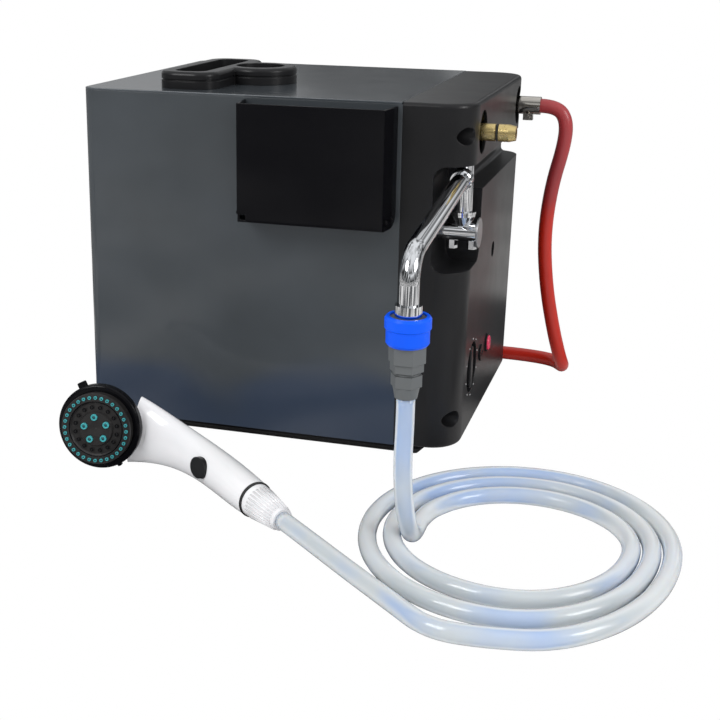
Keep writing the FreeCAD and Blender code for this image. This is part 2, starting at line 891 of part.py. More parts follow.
def make_cover_screws():
    """Five long screws, seated at the bottoms of the recesses."""
    screws = []
    reach = num(f"recess_seat - {CHASSIS_BACK}")
    for y, z in recess_places():
        seat = Vector(num("recess_seat"), num(y), num(z))
        head = Part.makeCylinder(num("screw_head"), num("screw_head_height"), seat, Vector(1, 0, 0))
        drive = Part.makeBox(2, 1.2, 7, seat + Vector(num("screw_head_height") - 1.5, -0.6, -3.5))
        cross = Part.makeBox(2, 7, 1.2, seat + Vector(num("screw_head_height") - 1.5, -3.5, -0.6))
        shank = Part.makeCylinder(num("screw_shank"), reach, seat, Vector(-1, 0, 0))
        screws.append(head.cut(drive).cut(cross).fuse(shank).removeSplitter())
    keep("cover_screws", rigid("cover_screw_set", Part.Compound(screws)))


def make_chassis():
    """The upright plate between the cabinet and the cover that carries the controls."""
    plate = block(
        "chassis_block", (CHASSIS_BACK, f"-{INNER}", "tray_height + sheet_steel"),
        ("chassis_front", INNER, DECK),
    )
    holes = [
        cylinder(f"chassis_screw_hole_{i}", "screw_shank + 0.1", "20", (f"{CHASSIS_BACK} - 5", y, z), "x")
        for i, (y, z) in enumerate(recess_places())
    ]
    for name, y, z in (
        ("cold_pass", "-water_port", "port_height"), ("gas_pass", "gas_port", "port_height"),
        ("hot_pass", "tap_y", "tap_height"),
    ):
        holes.append(cylinder(name, "pipe_radius + 0.5", "20", (f"{CHASSIS_BACK} - 5", y, z), "x"))
    keep("chassis_plate", cut("chassis_sheet_metal", plate, *holes))


def make_stack():
    """Burner box, burner bars, chamber, finned heat exchanger and flue, one above the other."""
    sides = ("-stack_rear", "stack_front", "-stack_half_width", "stack_half_width")

    def tube_box(name, low, high, floor=False):
        box = block(f"{name}_outside", (sides[0], sides[2], low), (sides[1], sides[3], high))
        start = f"{low} + sheet_steel" if floor else f"{low} - 1"
        space = block(
            f"{name}_inside",
            (f"{sides[0]} + sheet_steel", f"{sides[2]} + sheet_steel", start),
            (f"{sides[1]} - sheet_steel", f"{sides[3]} - sheet_steel", f"{high} + 1"),
        )
        return cut(f"{name}_walls", box, space)

    burner_top = "(tray_height + burner_height)"
    casing = tube_box("burner", "tray_height", burner_top, floor=True)
    keep("combustion_chamber", tube_box("chamber", burner_top, "chamber_top"))
    bars = []
    span = num("2 * stack_half_width - 2 * sheet_steel")
    count = int(num("bar_count"))
    pitch = span / count
    width = pitch * 0.5
    for i in range(count):
        y = -span / 2 + pitch * (i + 0.5)
        low = Vector(-num("stack_rear") + num("sheet_steel") + 6, y - width / 2, num("tray_height + sheet_steel"))
        length = num("stack_rear + stack_front - 2 * sheet_steel") - 12
        bar = Part.makeBox(length, width, num("burner_height") * 0.6, low)
        ridge = Part.makeCylinder(width / 2, length, low + Vector(0, width / 2, bar.BoundBox.ZLength), Vector(1, 0, 0))
        bars.append(bar.fuse(ridge).removeSplitter())
    keep("burner", fuse("burner_with_bars", casing, rigid("burner_bar_set", Part.Compound(bars))))
    make_exchanger()
    flue = block(
        "flue_outside", (sides[0], f"-{INNER} + sheet_steel", "exchanger_top"),
        (sides[1], sides[3], "flue_top"),
    )
    mouth = block(
        "flue_inside", (f"{sides[0]} + sheet_steel", f"-{INNER}", "exchanger_top + sheet_steel"),
        (f"{sides[1]} - sheet_steel", f"{sides[3]} - sheet_steel", "flue_top - sheet_steel"),
    )
    throat = block(
        "flue_throat", (f"{sides[0]} + sheet_steel", f"{sides[2]} + sheet_steel", "exchanger_top - 1"),
        (f"{sides[1]} - sheet_steel", f"{sides[3]} - sheet_steel", "exchanger_top + 5"),
    )
    keep("flue_duct", cut("flue_sheet_metal", flue, mouth, throat))


def make_exchanger():
    """Copper fins brazed to four water pipes inside a copper frame."""
    low = num("chamber_top")
    high = num("exchanger_top")
    half = num("stack_half_width")
    rear = -num("stack_rear")
    front = num("stack_front")
    wall = num("sheet_steel")
    frame = Part.makeBox(front - rear, 2 * half, high - low, Vector(rear, -half, low))
    space = Part.makeBox(
        front - rear - 2 * wall, 2 * (half - wall), high - low + 2, Vector(rear + wall, -half + wall, low - 1)
    )
    shape = frame.cut(space)
    count = int(num("fin_count"))
    pitch = (front - rear) / (count + 1)
    fins = [
        Part.makeBox(
            num("fin_thickness"), 2 * half - wall, high - low - 4,
            Vector(rear + pitch * (i + 1) - num("fin_thickness") / 2, -half + wall / 2, low + 2),
        )
        for i in range(count)
    ]
    middle = (low + high) / 2
    pipes = [
        Part.makeCylinder(num("water_pipe"), front - rear, Vector(rear, y, middle), Vector(1, 0, 0))
        for y in (-half * 0.6, 0, half * 0.6)
    ]
    shape = shape.multiFuse(fins + pipes).removeSplitter()
    keep("heat_exchanger", rigid("exchanger_block", shape))


def rounded_path(points, radius):
    """Straight runs joined by tangent arcs: one radius, or one worked out for each corner."""
    edges = []
    radii = []
    start = points[0]
    for i in range(1, len(points) - 1):
        before = points[i] - points[i - 1]
        after = points[i + 1] - points[i]
        turn = before.getAngle(after)
        shorter = min(before.Length, after.Length)
        bend = radius if radius else 0.45 * shorter / math.tan(turn / 2)
        setback = bend * math.tan(turn / 2)
        first = points[i] - Vector(before).normalize() * setback
        last = points[i] + Vector(after).normalize() * setback
        inward = (Vector(after).normalize() - Vector(before).normalize()).normalize()
        depth = bend / math.cos(turn / 2) - bend
        edges.append(Part.LineSegment(start, first).toShape())
        edges.append(Part.Arc(first, points[i] + inward * depth, last).toShape())
        radii.append(bend)
        start = last
    edges.append(Part.LineSegment(start, points[-1]).toShape())
    return Part.Wire(edges), radii


def circle_at(wire, radius):
    """A circle round a path's first point, square to it."""
    first = wire.Edges[0]
    spot = first.valueAt(first.FirstParameter)
    heading = first.tangentAt(first.FirstParameter)
    return Part.Wire(Part.Circle(spot, heading, radius).toShape())


def swept(wire, radius):
    """A round rod along a path."""
    rod = wire.makePipeShell([circle_at(wire, radius)], True, False)
    expected = math.pi * radius**2 * wire.Length
    assert abs(rod.Volume / expected - 1) < 0.02, "a tube lost its volume"
    return rod


def make_pipes():
    """The three pipes inside, and the burner's gas manifold."""
    lane = num("pipe_lane")
    back = num("chassis_front")
    port = num("port_height")
    middle = num("(chamber_top + exchanger_top) / 2")
    outlet = num("stack_half_width") * 0.6
    front = num("stack_front")
    cold_y = -num("water_port")
    tap_y = num("tap_y")
    tap_z = num("tap_height")
    gas_y = num("gas_port")
    rail_z = num("tray_height + burner_height / 2")
    rail_x = -num("stack_rear") - num("pipe_radius") - 0.2
    aside = num("stack_half_width") + 16
    routes = {
        "cold_water_pipe": [
            (back, cold_y, port), (lane, cold_y, port), (lane, cold_y + 10, middle),
            (lane, -outlet, middle), (front, -outlet, middle),
        ],
        "hot_water_pipe": [
            (front, outlet, middle), (lane, outlet, middle), (lane, outlet - 40, middle - 70),
            (lane, tap_y + 8, middle - 70), (lane, tap_y, tap_z), (back, tap_y, tap_z),
        ],
        "gas_pipe": [
            (back, gas_y, port), (lane, gas_y, port), (lane, gas_y, rail_z), (lane, aside, rail_z),
            (rail_x, aside, rail_z), (rail_x, num("stack_half_width"), rail_z),
        ],
    }
    for name, points in routes.items():
        path, _ = rounded_path([Vector(*p) for p in points], num("pipe_bend") * 0.55)
        rod = rigid(f"{name}_rod", swept(path, num("pipe_radius")))
        if name == "gas_pipe":
            rail = cylinder(
                "manifold_rod", "pipe_radius", "2 * stack_half_width - 10",
                (str(rail_x), "-stack_half_width + 10", str(rail_z)), "y",
            )
            rod = fuse("gas_pipe_and_rail", rod, rail)
        keep(name, rod)


def make_valves():
    """Gas valve, water valve, burner control, ignition module, electrode and batteries."""
    half = 15
    gas = block(
        "gas_valve_block", ("chassis_front", f"gas_port - {half}", f"port_height - {half} - 4"),
        ("recess_seat", f"gas_port + {half}", f"port_height + {half} + 4"),
    )
    keep("gas_valve", gas)
    water = block(
        "water_valve_block", ("chassis_front", f"-water_port - {half}", f"port_height - {half} - 4"),
        ("recess_seat", f"-water_port + {half}", f"port_height + {half} + 4"),
    )
    keep("water_valve", water)
    control = block(
        "control_block", ("chassis_front", "knob_y - 18", "control_height - 18"),
        (f"{FRONT} - front_lean - knob_recess_depth - cover_wall - 3", "knob_y + 18", "control_height + 18"),
    )
    shaft_hole = cylinder(
        "control_bore", "spindle_radius + spindle_clearance", "60",
        ("recess_seat", "knob_y", "control_height"), "x",
    )
    keep("flame_control", cut("control_body", control, shaft_hole))
    keep("ignition_module", block(
        "ignition_block", ("chassis_front", "20", "105"), ("chassis_front + 26", "82", "160")
    ))
    keep("spark_electrode", cylinder(
        "electrode_rod", "2.2", "26", ("stack_front - 12", "stack_half_width", "tray_height + burner_height + 12"),
        "y",
    ))
    box = block(
        "battery_outside", ("chassis_front", "26", "22"), ("chassis_front + 40", "102", "92")
    )
    cells = []
    pockets = []
    for i, y in enumerate(("45.5", "82.5")):
        spot = ("chassis_front + 20", y, "25")
        pockets.append(cylinder(f"cell_pocket_{i}", "17", "64", spot))
        cells.append(cylinder(f"cell_{i}", "16.6", "61.5", spot))
    keep("battery_box", cut("battery_moulding", box, *pockets))
    pair = doc.addObject("Part::Compound", "battery_pair")
    pair.Links = cells
    keep("battery_cells", pair)


def make_water_connector():
    """The brass nipple for the water supply, and the sealing ring in its groove."""
    body = new_body("nipple_body")
    radius = "nipple_radius"
    groove = "(nipple_radius - nipple_groove)"
    start = "(recess_seat)"
    half = "ring_width / 2"
    profile = [
        (start, "nipple_bore"), (start, f"{radius} + 3"), ("ferrule_start - 8", f"{radius} + 3"),
        ("ferrule_start - 8", radius), (f"ring_at - {half}", radius), (f"ring_at - {half}", groove),
        (f"ring_at + {half}", groove), (f"ring_at + {half}", radius),
        ("nipple_end - 6", radius), ("nipple_end", "nipple_tip"), ("nipple_end", "nipple_bore"),
    ]
    section = outline(body, "XY_Plane", "nipple_profile", profile)
    revolve(body, section, "nipple_turned", "H_Axis")
    place(body, ("0", "-water_port", "port_height"))
    keep("water_connector", body)
    ring = doc.addObject("Part::Torus", "connector_ring")
    bind(ring, "Radius1", f"{groove} + 1.15")
    bind(ring, "Radius2", "1.1")
    place(ring, ("ring_at", "-water_port", "port_height"), ALONG["x"])
    keep("connector_oring", ring)


def make_gas_connector():
    """The plated hose barb, the ferrule with its clamp screw, and the gas hose."""
    body = new_body("barb_body")
    end = "gas_hose_start"
    profile = [
        ("recess_seat", "0"), ("recess_seat", "barb_radius + 3"), ("ferrule_start", "barb_radius + 3"),
        ("ferrule_start", "barb_radius"), (end, "barb_radius"), (end, "0"),
    ]
    section = outline(body, "XY_Plane", "barb_profile", profile)
    revolve(body, section, "barb_turned", "H_Axis")
    place(body, ("0", "gas_port", "port_height"))
    keep("gas_connector", body)
    sleeve = cylinder(
        "ferrule_outside", "ferrule_radius", f"{end} - ferrule_start", ("ferrule_start", "gas_port", "port_height"), "x"
    )
    bore = cylinder(
        "ferrule_bore", "barb_radius", f"{end} - ferrule_start + 2",
        ("ferrule_start - 1", "gas_port", "port_height"), "x",
    )
    tangs = block(
        "clamp_ears", (f"{end} - 18", "gas_port - 4", "port_height - ferrule_radius - 6"),
        (f"{end} - 8", "gas_port + 4", "port_height - ferrule_radius + 2"),
    )
    screw = cylinder(
        "clamp_screw", "2.2", "16", (f"{end} - 13", "gas_port - 8", "port_height - ferrule_radius - 3"), "y"
    )
    keep("gas_hose_clamp", cut("clamp_body", fuse("clamp_blank", sleeve, tangs, screw), bore))


def quarter(start, heading, end, leaving):
    """Two arcs that leave one point along a heading and reach another along its own."""
    chord = end - start
    total = heading + leaving
    a = 2 * (1 - heading.dot(leaving))
    b = 2 * chord.dot(total)
    c = -chord.dot(chord)
    reach = -c / b if abs(a) < 1e-9 else (-b + math.sqrt(b * b - 4 * a * c)) / (2 * a)
    first = start + heading * reach
    second = end - leaving * reach
    joint = (first + second) * 0.5
    return [arc_between(start, heading, joint), arc_back(joint, end, leaving)]


def arc_between(start, heading, end):
    """The arc that leaves a point along a heading and passes through another point."""
    chord = end - start
    across = chord - heading * chord.dot(heading)
    if across.Length < 1e-6:
        return Part.LineSegment(start, end).toShape()
    side = Vector(across).normalize()
    radius = chord.dot(chord) / (2 * across.Length)
    centre = start + side * radius
    middle = (start + end) * 0.5
    outward = (middle - centre).normalize()
    return Part.Arc(start, centre + outward * radius, end).toShape()


def arc_back(start, end, leaving):
    """The arc that reaches a point along a heading, from another point."""
    arc = arc_between(end, leaving * -1, start)
    if isinstance(arc.Curve, Part.Line):
        return Part.LineSegment(start, end).toShape()
    middle = arc.valueAt((arc.FirstParameter + arc.LastParameter) / 2)
    return Part.Arc(start, middle, end).toShape()


def wound(stations, lead_in, lead_out):
    """A path through stations of a point and a heading, with a straight piece at each end."""
    edges = [Part.LineSegment(stations[0][0] - stations[0][1] * lead_in, stations[0][0]).toShape()]
    for (start, heading), (end, leaving) in zip(stations, stations[1:]):
        edges += quarter(start, heading, end, leaving)
    last, heading = stations[-1]
    edges.append(Part.LineSegment(last, last + heading * lead_out).toShape())
    return Part.Wire(edges)


def self_gap(wire, radius, turn):
    """The least gap between a winding's strands, measured on points along it."""
    step = 4.0
    points = wire.discretize(Distance=step)
    apart = int(turn / step / 2)
    least = min(
        points[i].distanceToPoint(points[j])
        for i in range(len(points)) for j in range(i + apart, len(points))
    )
    return least - 2 * radius


def drop_gap(loops, other, radius):
    """The least gap between the loops and another stretch, away from where the two join."""
    first = loops.discretize(Distance=4.0)
    second = other.discretize(Distance=4.0)
    ends = (first[0], first[-1])
    away = [p for p in second if min(p.distanceToPoint(e) for e in ends) > 24]
    return min(p.distanceToPoint(q) for p in away for q in first[8:-8]) - 2 * radius


def gas_route():
    """The gas hose from the connector down to the floor and round behind the heater."""
    start = num("gas_hose_start")
    y = num("gas_port")
    z = num("port_height")
    floor = num("gas_hose_radius")
    near_side = num("gas_coil_y - gas_coil_outer")
    return [
        Vector(start, y, z), Vector(start + 17, y, z), Vector(start + 28, y, z - 14),
        Vector(start + 27, y + 1, z - 40), Vector(start + 16, y + 1, z - 85), Vector(start + 11, y + 2, z - 140),
        Vector(start + 16, y + 4, z - 195), Vector(start + 26, y + 7, z - 245),
        Vector(start + 35, y + 14, z - 281), Vector(start + 38, y + 32, floor),
        Vector(start + 25, y + 56, floor), Vector(start - 12, near_side, floor),
        Vector(start - 66, near_side, floor),
    ]


def make_gas_hose():
    """The gas hose: its hanging stretch, its coil behind the heater and the bottle union."""
    radius = num("gas_hose_radius")
    points = gas_route()
    path, radii = rounded_path(points, None)
    keep("gas_hose_run", rigid("gas_hose_tube", swept(path, radius)))
    print("gas hose radii", [round(r) for r in radii], "run length", round(path.Length))
    centre = Vector(num("gas_coil_x"), num("gas_coil_y"), radius)
    step = num("gas_coil_step")
    turns = int(num("gas_turns"))
    compass = [Vector(0, -1, 0), Vector(-1, 0, 0), Vector(0, 1, 0), Vector(1, 0, 0)]
    stations = []
    for k in range(turns * 4 + 1):
        out = compass[k % 4]
        heading = compass[(k + 1) % 4]
        inward = step * k / 4 + (num("gas_coil_tuck") if k == turns * 4 else 0)
        rise = num("union_hex") + 0.4 + radius if k == turns * 4 else 0
        stations.append((centre + out * (num("gas_coil_outer") - inward) + Vector(0, 0, rise), heading))
    lead_in = stations[0][0].x
    first = points[-1]
    coil = wound(stations, first.x - lead_in, 2 * radius)
    keep("gas_hose_coil", rigid("gas_coil_tube", swept(coil, radius)))
    gap = self_gap(coil, radius, 2 * math.pi * (num("gas_coil_outer") - step))
    print("gas coil length", round(coil.Length), "least gap", round(gap, 2))
    make_union(coil.Edges[-1].lastVertex().Point)


def make_union(end):
    """The union nut for the gas bottle at the hose's far end, on its tail."""
    foot = f"({end.x} - union_tail_length)"
    tip = f"({foot} - union_length)"
    y = str(end.y)
    z = str(end.z)
    tail = cone(
        "union_tail_cone", "union_tail", "gas_hose_radius + 1.5", "union_tail_length", (foot, y, z), "x"
    )
    nut = hexagon("union_hex_bar", "union_hex", "union_length", (tip, y, z), "x")
    bore = cylinder("union_bore_tool", "union_bore", "union_length", (f"{tip} - 8", y, z), "x")
    keep("gas_union", cut("union_body", fuse("union_blank", tail, nut), bore))


def make_tap():
    """The chromed tap body in the bay, its end disc and its two drain plugs."""
    barrel = cylinder(
        "tap_barrel", "tap_radius", "tap_front - chassis_front", ("chassis_front", "tap_y", "tap_height"), "x"
    )
    neck = cone(
        "tap_cone", "tap_radius * 0.5", "tap_neck_radius", "tap_neck_top - tap_height - 4",
        ("tap_x", "tap_y", "tap_height + 2"),
    )
    collar = cylinder(
        "tap_collar", "tap_neck_radius", "2", ("tap_x", "tap_y", "tap_neck_top - 2"),
    )
    spigot = cylinder(
        "tap_spigot", "tap_spigot_radius", "tap_spigot_height", ("tap_x", "tap_y", "tap_neck_top")
    )
    keep("tap_body", fuse("tap_casting", barrel, neck, collar, spigot))
    body = new_body("tap_disc_body")
    face = ring_sketch(body, "YZ_Plane", "tap_disc_outline", ("tap_y", "tap_height"), "tap_disc_radius", "tap_front")
    pad(body, face, "tap_disc_pad", "tap_disc")
    soften(
        body, "tap_disc_rim", "Fillet", "tap_disc / 3",
        lambda e: e.BoundBox.XLength < 0.01 and e.BoundBox.YLength > 5,
    )
    keep("tap_end_disc", body)
    plugs = []
    for i, x in enumerate(("tap_x - plug_gap / 2", "tap_x + plug_gap / 2")):
        spot = (x, "tap_y", "tap_height - tap_radius - plug_height + 1")
        head = hexagon(f"plug_head_{i}", "plug_radius", "plug_height", spot)
        barrel_tool = cylinder(
            f"plug_seat_{i}", "tap_radius", "40", ("tap_x - 20", "tap_y", "tap_height"), "x"
        )
        plugs.append(cut(f"plug_{i}", head, barrel_tool))
    pair = doc.addObject("Part::Compound", "plug_pair")
    pair.Links = plugs
    keep("tap_plugs", pair)


def spout_path():
    """The spout's centre line: it leaves the column, falls a little and turns straight down."""
    fall = math.tan(math.radians(num("spout_fall")))
    x = num("tap_x")
    y = num("tap_y")
    root = num("spout_root")
    reach = num("spout_reach")
    first = Vector(x, y - num("column_radius") + 1, root - fall * (num("column_radius") - 1))
    corner = Vector(x, y - reach, root - fall * reach)
    last = Vector(x, y - reach, num("aerator_top"))
    return rounded_path([first, corner, last], num("spout_bend"))[0]


def make_spout():
    """The swivelling column, the spout tube, its nut and the outlet collar."""
    foot = "(tap_neck_top + spout_gap)"
    column = fuse(
        "column_blank",
        cylinder("column_rod", "column_radius", f"column_top - {foot}", ("tap_x", "tap_y", foot)),
        cylinder("column_flange_disc", "column_flange", "column_flange_height", ("tap_x", "tap_y", foot)),
    )
    bore = cylinder(
        "column_bore", "tap_spigot_radius + spigot_clearance", "tap_spigot_height + 2",
        ("tap_x", "tap_y", f"{foot} - 1"),
    )
    path = spout_path()
    tube = swept(path, num("spout_radius")).cut(swept(path, num("spout_bore")))
    around = Part.makeCylinder(
        num("column_radius"), num(f"column_top - {foot}"), Vector(num("tap_x"), num("tap_y"), num(foot))
    )
    keep("spout_column", cut("column_body", column, bore))
    keep("spout_tube", rigid("spout_bent_tube", tube.cut(around)))
    slope = Rotation(Vector(1, 0, 0), 90 + num("spout_fall"))
    along = slope.multVec(Vector(0, 0, 1))
    seat = Vector(num("tap_x"), num("tap_y"), num("spout_root")) + along * num("nut_start")
    nut = Part.makeCylinder(num("nut_radius"), num("nut_length"))
    nut = nut.cut(Part.makeCylinder(num("spout_radius"), num("nut_length")))
    nut = nut.makeChamfer(1.2, [e for e in nut.Edges if e.Curve.TypeId == "Part::GeomCircle"
                                and near(e.Curve.Radius, num("nut_radius"))])
    keep("spout_nut", rigid("spout_nut_ring", nut, Placement(seat, slope)))
    out_y = "(tap_y - spout_reach)"
    collar = cylinder("aerator_outside", "aerator_radius", "aerator_height", ("tap_x", out_y, "aerator_top - aerator_height"))
    step = cylinder("aerator_bore", "spout_bore", "aerator_height + 2", ("tap_x", out_y, "aerator_top - aerator_height - 1"))
    keep("spout_collar", cut("aerator_body", collar, step))


def turned(name, profile, at):
    """A piece turned about an upright axis, from a profile of radius and height."""
    body = new_body(f"{name}_body")
    section = outline(body, "XZ_Plane", f"{name}_profile", profile)
    revolve(body, section, f"{name}_turned")
    place(body, at)
    return body


def make_coupler():
    """The blue snap collar, its grey insert, the threaded body and the hose nut below it."""
    axis = ("tap_x", "tap_y - spout_reach", "0")
    top = "coupler_top"
    low = "(coupler_top - coupler_height)"
    seat = "(aerator_top - aerator_height)"
    ring = [
        ("body_stub", low), ("coupler_waist - 1.5", low), ("coupler_waist", f"{low} + 2"),
        ("coupler_waist", f"{top} - coupler_band"), ("coupler_radius", f"{top} - coupler_band + 1"),
        ("coupler_radius", f"{top} - 2"), ("coupler_radius - 1.5", top), ("insert_radius", top),
        ("insert_radius", f"{top} - insert_height"), ("body_stub", f"{top} - insert_height"),
    ]
    keep("coupler_collar", turned("coupler_collar", ring, axis))
    insert = [
        ("aerator_radius", f"{top} - insert_height"), ("insert_radius", f"{top} - insert_height"),
        ("insert_radius", f"{top} - 1.5"), ("aerator_radius", f"{top} - 2.5"),
    ]
    keep("coupler_insert", turned("coupler_insert", insert, axis))
    hex_low = f"({low} - body_hex_height)"
    ring_low = f"({hex_low} - body_ring_height)"
    core = cylinder("coupler_core", "body_stub", f"{seat} - {low}", (axis[0], axis[1], low))
    bar = hexagon("coupler_hex", "body_hex", "body_hex_height", (axis[0], axis[1], hex_low))
    band = hexagon("coupler_ring", "body_ring", "body_ring_height", (axis[0], axis[1], ring_low))
    stub = cylinder(
        "coupler_stub", "body_stub", "body_stub_height", (axis[0], axis[1], f"{ring_low} - body_stub_height")
    )
    keep("coupler_body", fuse("coupler_blank", core, bar, band, stub))
    nut_top = f"({ring_low} - body_stub_height)"
    nut_low = f"({nut_top} - hose_nut_hex_height)"
    nut = hexagon("hose_nut_bar", "hose_nut_hex", "hose_nut_hex_height", (axis[0], axis[1], nut_low))
    taper = cone(
        "hose_nut_taper_cone", "hose_nut_end", "hose_nut_hex * 0.86", "hose_nut_taper",
        (axis[0], axis[1], f"{nut_low} - hose_nut_taper"),
    )
    keep("hose_nut", fuse("hose_nut_blank", nut, taper))
    return num(f"{nut_low} - hose_nut_taper")


def shower_drop(top):
    """The shower hose from the nut down to the floor, where it turns away under its own push."""
    x = num("tap_x")
    y = num("tap_y - spout_reach")
    floor = num("shower_hose_radius")
    left = num("loop_x - loop_left")
    return [
        Vector(x, y, top), Vector(x, y, top - 22), Vector(x, y - 5, top - 58),
        Vector(x + 3, y - 7, top - 90), Vector(x + 6.5, y - 1, floor + 7.5), Vector(left, y + 12, floor),
        Vector(left, num("loop_y + loop_start") - 2 * floor, floor),
    ]


def make_shower_hose(top):
    """The shower hose: its drop, its loose loops on the floor and its lead to the hand shower."""
    radius = num("shower_hose_radius")
    points = shower_drop(top)
    drop, radii = rounded_path(points, None)
    keep("shower_hose_drop", rigid("shower_drop_tube", swept(drop, radius)))
    print("shower drop radii", [round(r) for r in radii], "length", round(drop.Length))
    centre = Vector(num("loop_x"), num("loop_y"), radius)
    compass = [
        (Vector(-1, 0, 0), "loop_left", "loop_left_step"), (Vector(0, 1, 0), "loop_far", "loop_far_step"),
        (Vector(1, 0, 0), "loop_right", "loop_step"), (Vector(0, -1, 0), "loop_near", "loop_near_step"),
    ]
    stations = []
    for k in range(int(num("loop_turns")) * 4 + 4):
        out, reach, step = compass[k % 4]
        heading = compass[(k + 1) % 4][0]
        stations.append((centre + out * (num(reach) + num(step) * (k // 4)), heading))
    tube = 2 * radius
    first, heading = stations[0]
    stations[0] = (first + heading * num("loop_start"), heading)
    loops = wound(stations, tube, tube)
    keep("shower_hose_loops", rigid("shower_loops_tube", swept(loops, radius)))
    gap = self_gap(loops, radius, 2 * math.pi * num("loop_left"))
    print("shower loops length", round(loops.Length), "least gap", round(gap, 2))
    end = loops.Edges[-1].lastVertex().Point
    nut = Vector(num("hand_x"), num("hand_y"), num("hand_z"))
    out = hand_frame().Rotation.multVec(Vector(-1, 0, 0))
    lead = [
        nut, nut + out * 34, Vector(150, -407, radius), Vector(193, -445, radius),
        end - Vector(26, 0, 0), end,
    ]
    path, radii = rounded_path(lead, None)
    keep("shower_hose_lead", rigid("shower_lead_tube", swept(path, radius)))
    beside = min(drop_gap(loops, piece, radius) for piece in (drop, path))
    print("least gap of the loops to the drop and the lead", round(beside, 2))
    print("shower lead radii", [round(r) for r in radii], "length", round(path.Length))
    print("shower hose length", round(drop.Length + loops.Length + path.Length))


def hand_frame():
    """The hand shower's frame: from the middle of its nut's end towards the head."""
    turn = Rotation(num("hand_yaw"), num("hand_pitch"), num("hand_roll"))
    return Placement(Vector(num("hand_x"), num("hand_y"), num("hand_z")), turn)


def head_frame():
    """The frame of the shower head, with Z out of its face."""
    angle = math.radians(num("head_angle"))
    along = Vector(math.cos(angle), math.sin(angle), 0)
    out = Vector(-math.sin(angle), math.cos(angle), 0)
    turn = Rotation(along, out.cross(along), out, "ZXY")
    return hand_frame().multiply(Placement(Vector(num("head_x"), num("head_y"), 0), turn))


def oval(x, y, angle, half_width, half_depth):
    """An oval section of the handle, square to its line."""
    slope = math.radians(angle)
    across = Vector(-math.sin(slope), math.cos(slope), 0)
    wide = Vector(0, 0, 1)
    tall = half_width >= half_depth
    major, minor = (wide, across) if tall else (across, wide)
    shape = Part.Ellipse(
        Vector(x, y, 0) + major * max(half_width, half_depth + 0.01),
        Vector(x, y, 0) + minor * min(half_width, half_depth),
        Vector(x, y, 0),
    )
    return Part.Wire(shape.toShape())


def make_hand_shower():
    """The hand shower, lying on its side with its handle bent towards its face."""
    frame = hand_frame()
    head = head_frame()
    root = num("hand_nut_length + hand_ring_width")
    neck = num("head_radius")
    sections = [
        oval(root, 0, 0, 15.6, 15.5), oval(80, -1, -1, 17.2, 16), oval(115, -1, 2, 18, 15),
        oval(145, 2, 8, 19.5, 13.8), oval(170, 8, 18, 22.5, 12.5), oval(190, 17, 28, 27, 11.5),
        oval(205, 29, 38, neck * 0.86, 9.5),
    ]
    grip = Part.makeLoft(sections, True, False)
    depth = num("head_depth")
    bowl = [
        Vector(0, 0, -depth), Vector(neck * 0.45, 0, -depth * 0.97), Vector(neck * 0.86, 0, -depth * 0.62),
        Vector(neck, 0, -num("selector_gap") - 1),
    ]
    curve = Part.BSplineCurve()
    curve.interpolate(bowl)
    rim = Vector(0, 0, bowl[-1].z)
    section = Part.Face(Part.Wire([
        curve.toShape(), Part.LineSegment(bowl[-1], rim).toShape(), Part.LineSegment(rim, bowl[0]).toShape(),
    ]))
    dome = section.revolve(Vector(0, 0, 0), Vector(0, 0, 1), 360)
    local_head = frame.inverse().multiply(head)
    dome.Placement = local_head
    handle = grip.fuse(dome).removeSplitter()
    clear = Part.makeCylinder(num("selector_radius") + 2.8, 30, Vector(0, 0, -num("selector_gap") - 1))
    clear.Placement = local_head
    skin = num("trigger_skin")
    floor = skin - num("trigger_depth")
    slot = trigger_shape(num("trigger_gap"), floor - num("trigger_stand") - 1, skin + 10)
    handle = handle.cut(clear).cut(slot)
    keep("handset_body", rigid("handset_moulding", handle, frame))
    cap = trigger_shape(0, floor, skin + num("trigger_stand"))
    keep("handset_button", rigid("handset_button_cap", cap, frame))
    make_hand_nut(frame)
    make_shower_face(head)


def trigger_shape(grow, low, high):
    """The thumb button's oval block, between two distances from the handle's middle line."""
    long = num("trigger_half_length") + grow
    wide = num("trigger_half_width") + grow
    centre = Vector(num("trigger_at"), low, 0)
    ring = Part.Ellipse(centre + Vector(long, 0, 0), centre + Vector(0, 0, wide), centre)
    return Part.Face(Part.Wire(ring.toShape())).extrude(Vector(0, high - low, 0))


def make_hand_nut(frame):
    """The tapered hose nut with its ribs, and the black ring above it."""
    length = num("hand_nut_length")
    nut = Part.makeCone(num("hand_nut_end"), num("hand_nut_root"), length, Vector(0, 0, 0), Vector(1, 0, 0))
    keep("handset_nut", rigid("handset_nut_taper", nut, frame))
    ring = Part.makeCylinder(
        num("hand_ring"), num("hand_ring_width"), Vector(length, 0, 0), Vector(1, 0, 0)
    )
    edges = [e for e in ring.Edges if e.Curve.TypeId == "Part::GeomCircle"]
    keep("handset_ring", rigid("handset_ring_band", ring.makeFillet(1.2, edges), frame))


def ring_of(count, radius, make):
    """Copies of a small solid, evenly spaced on a circle."""
    return Part.Compound([
        make(Vector(radius * math.cos(2 * math.pi * i / count), radius * math.sin(2 * math.pi * i / count), 0))
        for i in range(int(count))
    ])


